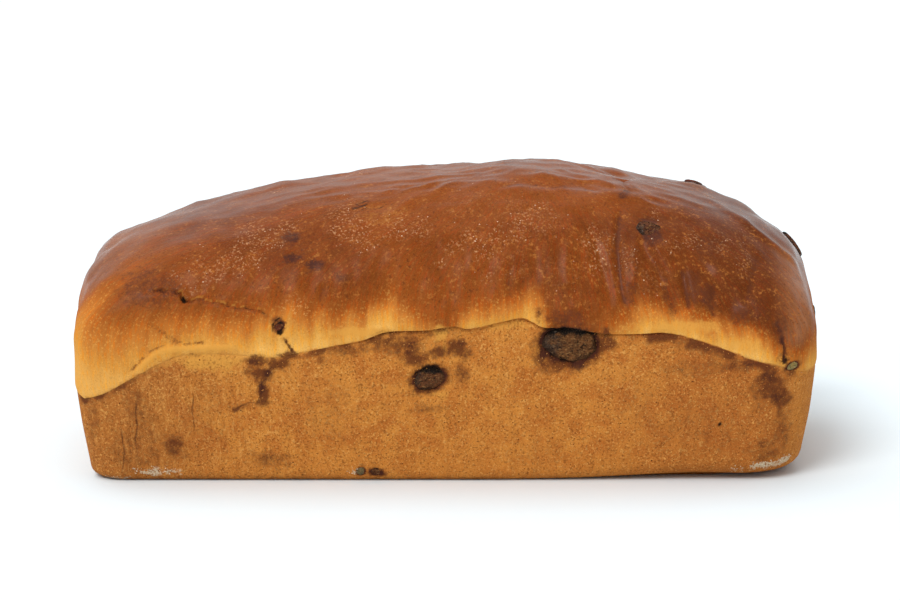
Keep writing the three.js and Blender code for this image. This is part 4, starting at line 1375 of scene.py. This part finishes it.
fruitNodes = fruitTree()
skins = {"raisin": raisinMaterial(), "peel": peelMaterial()}
host = meshObject("fruit_host", [(0, 0, 0)], [])
for number, (name, fruit) in enumerate(fruits.items()):
    long, wide, deep = (float(size) for size in fruit.size)
    bulge = bulgeOf(fruit)
    kind = name.split("_")[0]
    mesh = runTree(fruitNodes, host, {
        "Length": long, "Width": wide, "Face": bulge, "Depth": deep,
        "Seat": fruit.proud - bulge, "Wrinkle": fruitShape["wrinkle"],
        "Crinkle": fruitShape["crinkle"] * min(long / 12, 1.2),
        "Crinkle Size": fruitShape["crinkleSize"] * min(long / 12, 1.3),
        "Shift": 7.3 * number, "Hue": float(fruit.hue), "Finish": skins[kind]})
    point, *axes = fruitFrame(fruit)
    local = np.zeros(len(mesh.vertices) * 3, dtype=np.float32)
    mesh.vertices.foreach_get("co", local)
    away = local.reshape(-1, 3).astype(float) @ np.array(axes)
    mesh.vertices.foreach_set("co", ((point + away) * mm).astype(np.float32).ravel())
    mesh.update()
    piece = addPiece(name + "_skin", mesh, kind)
    rightward, upward = levelAxes(axes[2])
    upper = away @ upward / (wide / 2)
    addValues(piece, "across", away @ rightward / (long / 2))
    addValues(piece, "upper", upper if fruit.proud < 0 else upper - 1)
    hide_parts(name)
bpy.data.objects.remove(host)
print("fruit done:", len(fruits))


# Small grains on the crust: seeds of a given size where an attribute of the loaf says so
def grainTree():
    tree, nodes, inner, result = geometryTree("crustGrains", [
        ("Geometry", "Geometry", None), ("Density", "Float", 1.0), ("Smallest", "Float", 0.2),
        ("Largest", "Float", 0.4), ("Flatness", "Float", 0.6), ("Sink", "Float", 0.0),
        ("Seed", "Int", 1), ("Finish", "Material", None)])
    where = nodes.add("GeometryNodeInputNamedAttribute", {"Name": "where"}, data_type="FLOAT")
    spread = nodes.add("GeometryNodeDistributePointsOnFaces", {
        "Mesh": inner["Geometry"], "Seed": inner["Seed"],
        "Density": nodes.times(where.outputs[0], inner["Density"])}).outputs
    ball = nodes.add("GeometryNodeMeshIcoSphere", {"Radius": mm, "Subdivisions": 1}).outputs[0]
    ball = nodes.add("GeometryNodeSetShadeSmooth", {"Geometry": ball}).outputs[0]
    size = nodes.random(inner["Smallest"], inner["Largest"], inner["Seed"])
    spin = nodes.combine(z=nodes.random(0.0, 6.283, 5))
    turned = nodes.add("FunctionNodeRotateRotation", {0: spread["Rotation"], 1: spin},
                       rotation_space="LOCAL").outputs[0]
    scale = nodes.combine(nodes.times(size, 1.35), size, nodes.times(size, inner["Flatness"]))
    seeds = nodes.add("GeometryNodeInstanceOnPoints", {
        "Points": spread["Points"], "Instance": ball, "Rotation": turned, "Scale": scale}).outputs[0]
    drop = nodes.combine(z=nodes.times(inner["Sink"], -mm))
    lowered = nodes.add("GeometryNodeTranslateInstances", {
        "Instances": seeds, "Translation": drop, "Local Space": True}).outputs[0]
    shaded = nodes.store(lowered, "shade", nodes.random(0.0, 1.0, 9), "INSTANCE")
    nodes.close(shaded, inner["Finish"], result)
    return tree


def grainMaterial(name, dark, light, roughness, shine):
    material, nodes, shader, place = newMaterial(name)
    patchy = nodes.group(mottle, Vector=place, Size=0.7, Low=0.35, High=0.65)
    colour = nodes.blend(nodes.read("shade"), dark, light)
    nodes.finish(shader, {
        "Base Color": nodes.blend(nodes.times(patchy["Mask"], 0.3), colour, dark),
        "Roughness": nodes.blendValue(patchy["Value"], roughness - 0.1, roughness + 0.1),
        "Specular IOR Level": shine,
        "Normal": nodes.bump(nodes.times(patchy["Value"], 0.01), 0.6),
    })
    return material


# Where each kind lies on the loaf, how many there are to a square metre, how big they are in
# millimetres, and the finish: name, dark and light paint, roughness and shine
onWall = (1 - smooth((overTin + 1) / 1.5)) * smooth((bare[:, 2] - 1) / 3)
onWall = onWall * (0.25 + 0.75 * smooth(noiseAt(points, 8, 17.1) * 2 + 0.4))
scatter = {
    # pale blisters: their light paint stands for glints
    "crown_blisters": {
        "where": blisterGlint * clumps, "density": 400000.0, "size": (0.06, 0.25), "flatness": 0.4,
        "sink": 0.03, "seed": 3,
        "finish": ("blistered_glaze", paint(160, 92, 46), paint(244, 206, 172), 0.35, 0.3),
    },
    "wall_crumbs": {
        "where": onWall, "density": 280000.0, "size": (0.08, 0.2), "flatness": 0.35,
        "sink": 0.03, "seed": 11,
        "finish": ("toasted_crumb", paint(176, 104, 44), paint(232, 168, 94), 0.8, 0.05),
    },
    # dark grains for pores: painted shade of the pores
    "wall_pores": {
        "where": onWall, "density": 26000.0, "size": (0.1, 0.26), "flatness": 0.25,
        "sink": 0.0, "seed": 23,
        "finish": ("dark_pore", paint(84, 44, 20), paint(126, 68, 30), 0.9, 0.03),
    },
    "flour_grains": {
        "where": marks["dust"] ** 1.5, "density": 2600000.0, "size": (0.1, 0.24), "flatness": 0.6,
        "sink": 0.0, "seed": 31,
        "finish": ("flour", paint(196, 166, 128), paint(240, 224, 198), 0.9, 0.05),
    },
}
seedNodes = grainTree()
for name, kind in scatter.items():
    host = meshObject(name + "_host", allPoints, allFaces)
    addValues(host, "where", withBase(kind["where"], 0))
    mesh = runTree(seedNodes, host, {
        "Density": kind["density"], "Smallest": kind["size"][0], "Largest": kind["size"][1],
        "Flatness": kind["flatness"], "Sink": kind["sink"], "Seed": kind["seed"],
        "Finish": grainMaterial(*kind["finish"])})
    bpy.data.objects.remove(host)
    addPiece(name, mesh, "bread")
    print(name, len(mesh.polygons), "faces")

# Floor, lights and camera
stageSetup = {
    "floorHalf": 6.0,
    "floorPaint": (0.86, 0.95, 0.995, 1),
    "floorShade": (0.85, 0.94, 0.985, 1),
    "skyStrength": 0.56,
    "lights": {  # azimuth from the camera's side, elevation, softness in degrees, strength
        "key_softbox": (-29, 45, 26, 1.62),
        "top_softbox": (-125, 72, 60, 1.0),
    },
    "lightDistance": 2.0,
    "lookAt": (0.0012, 0.0, 0.052),
    "elevation": 12.0,
    "distance": 1.15,
    "lens": 133.4,
    "clip": (0.05, 50),
}


# Where something stands that is seen from the target at a bearing and a height in degrees
def standAt(target, bearing, height, distance):
    a, e = math.radians(bearing), math.radians(height)
    way = Vector((math.sin(a) * math.cos(e), -math.cos(a) * math.cos(e), math.sin(e)))
    return Vector(target) + way * distance


def aimed(name, data, place, target):
    made = bpy.data.objects.new(name, data)
    bpy.context.scene.collection.objects.link(made)
    made.location = place
    made.rotation_mode = "QUATERNION"
    made.rotation_quaternion = (Vector(target) - made.location).to_track_quat("-Z", "Y")
    return made


def makeStage():
    setup = stageSetup
    half = setup["floorHalf"] / mm
    corners = [(-half, -half, 0), (half, -half, 0), (half, half, 0), (-half, half, 0)]
    floor = meshObject("studio_floor", corners, [(0, 1, 2, 3)], False)
    material, nodes, shader, place = newMaterial("floor_paper")
    faint = nodes.group(mottle, Vector=place, Size=60.0, Low=0.3, High=0.7)
    nodes.finish(shader, {
        "Base Color": nodes.blend(faint["Mask"], setup["floorPaint"], setup["floorShade"]),
        "Roughness": 0.9,
        "Specular IOR Level": 0.1,
    })
    floor.data.materials.append(material)

    world = bpy.data.worlds.new("studio")
    world.use_nodes = True
    sky = world.node_tree.nodes["Background"].inputs
    sky["Color"].default_value = (1, 1, 1, 1)
    sky["Strength"].default_value = setup["skyStrength"]
    bpy.context.scene.world = world
    for name, (azimuth, elevation, softness, strength) in setup["lights"].items():
        lamp = bpy.data.lights.new(name, "SUN")
        lamp.angle = math.radians(softness)
        lamp.energy = strength
        aimed(name, lamp, standAt((0, 0, 0), azimuth, elevation, setup["lightDistance"]), (0, 0, 0))

    lens = bpy.data.cameras.new("camera")
    lens.lens = setup["lens"]
    lens.sensor_width = 36
    lens.clip_start, lens.clip_end = setup["clip"]
    stand = standAt(setup["lookAt"], 0, setup["elevation"], setup["distance"])
    bpy.context.scene.camera = aimed("camera", lens, stand, setup["lookAt"])


makeStage()
bpy.context.scene.view_settings.view_transform = "Standard"
bpy.context.scene.view_settings.look = "None"
print("stage done")
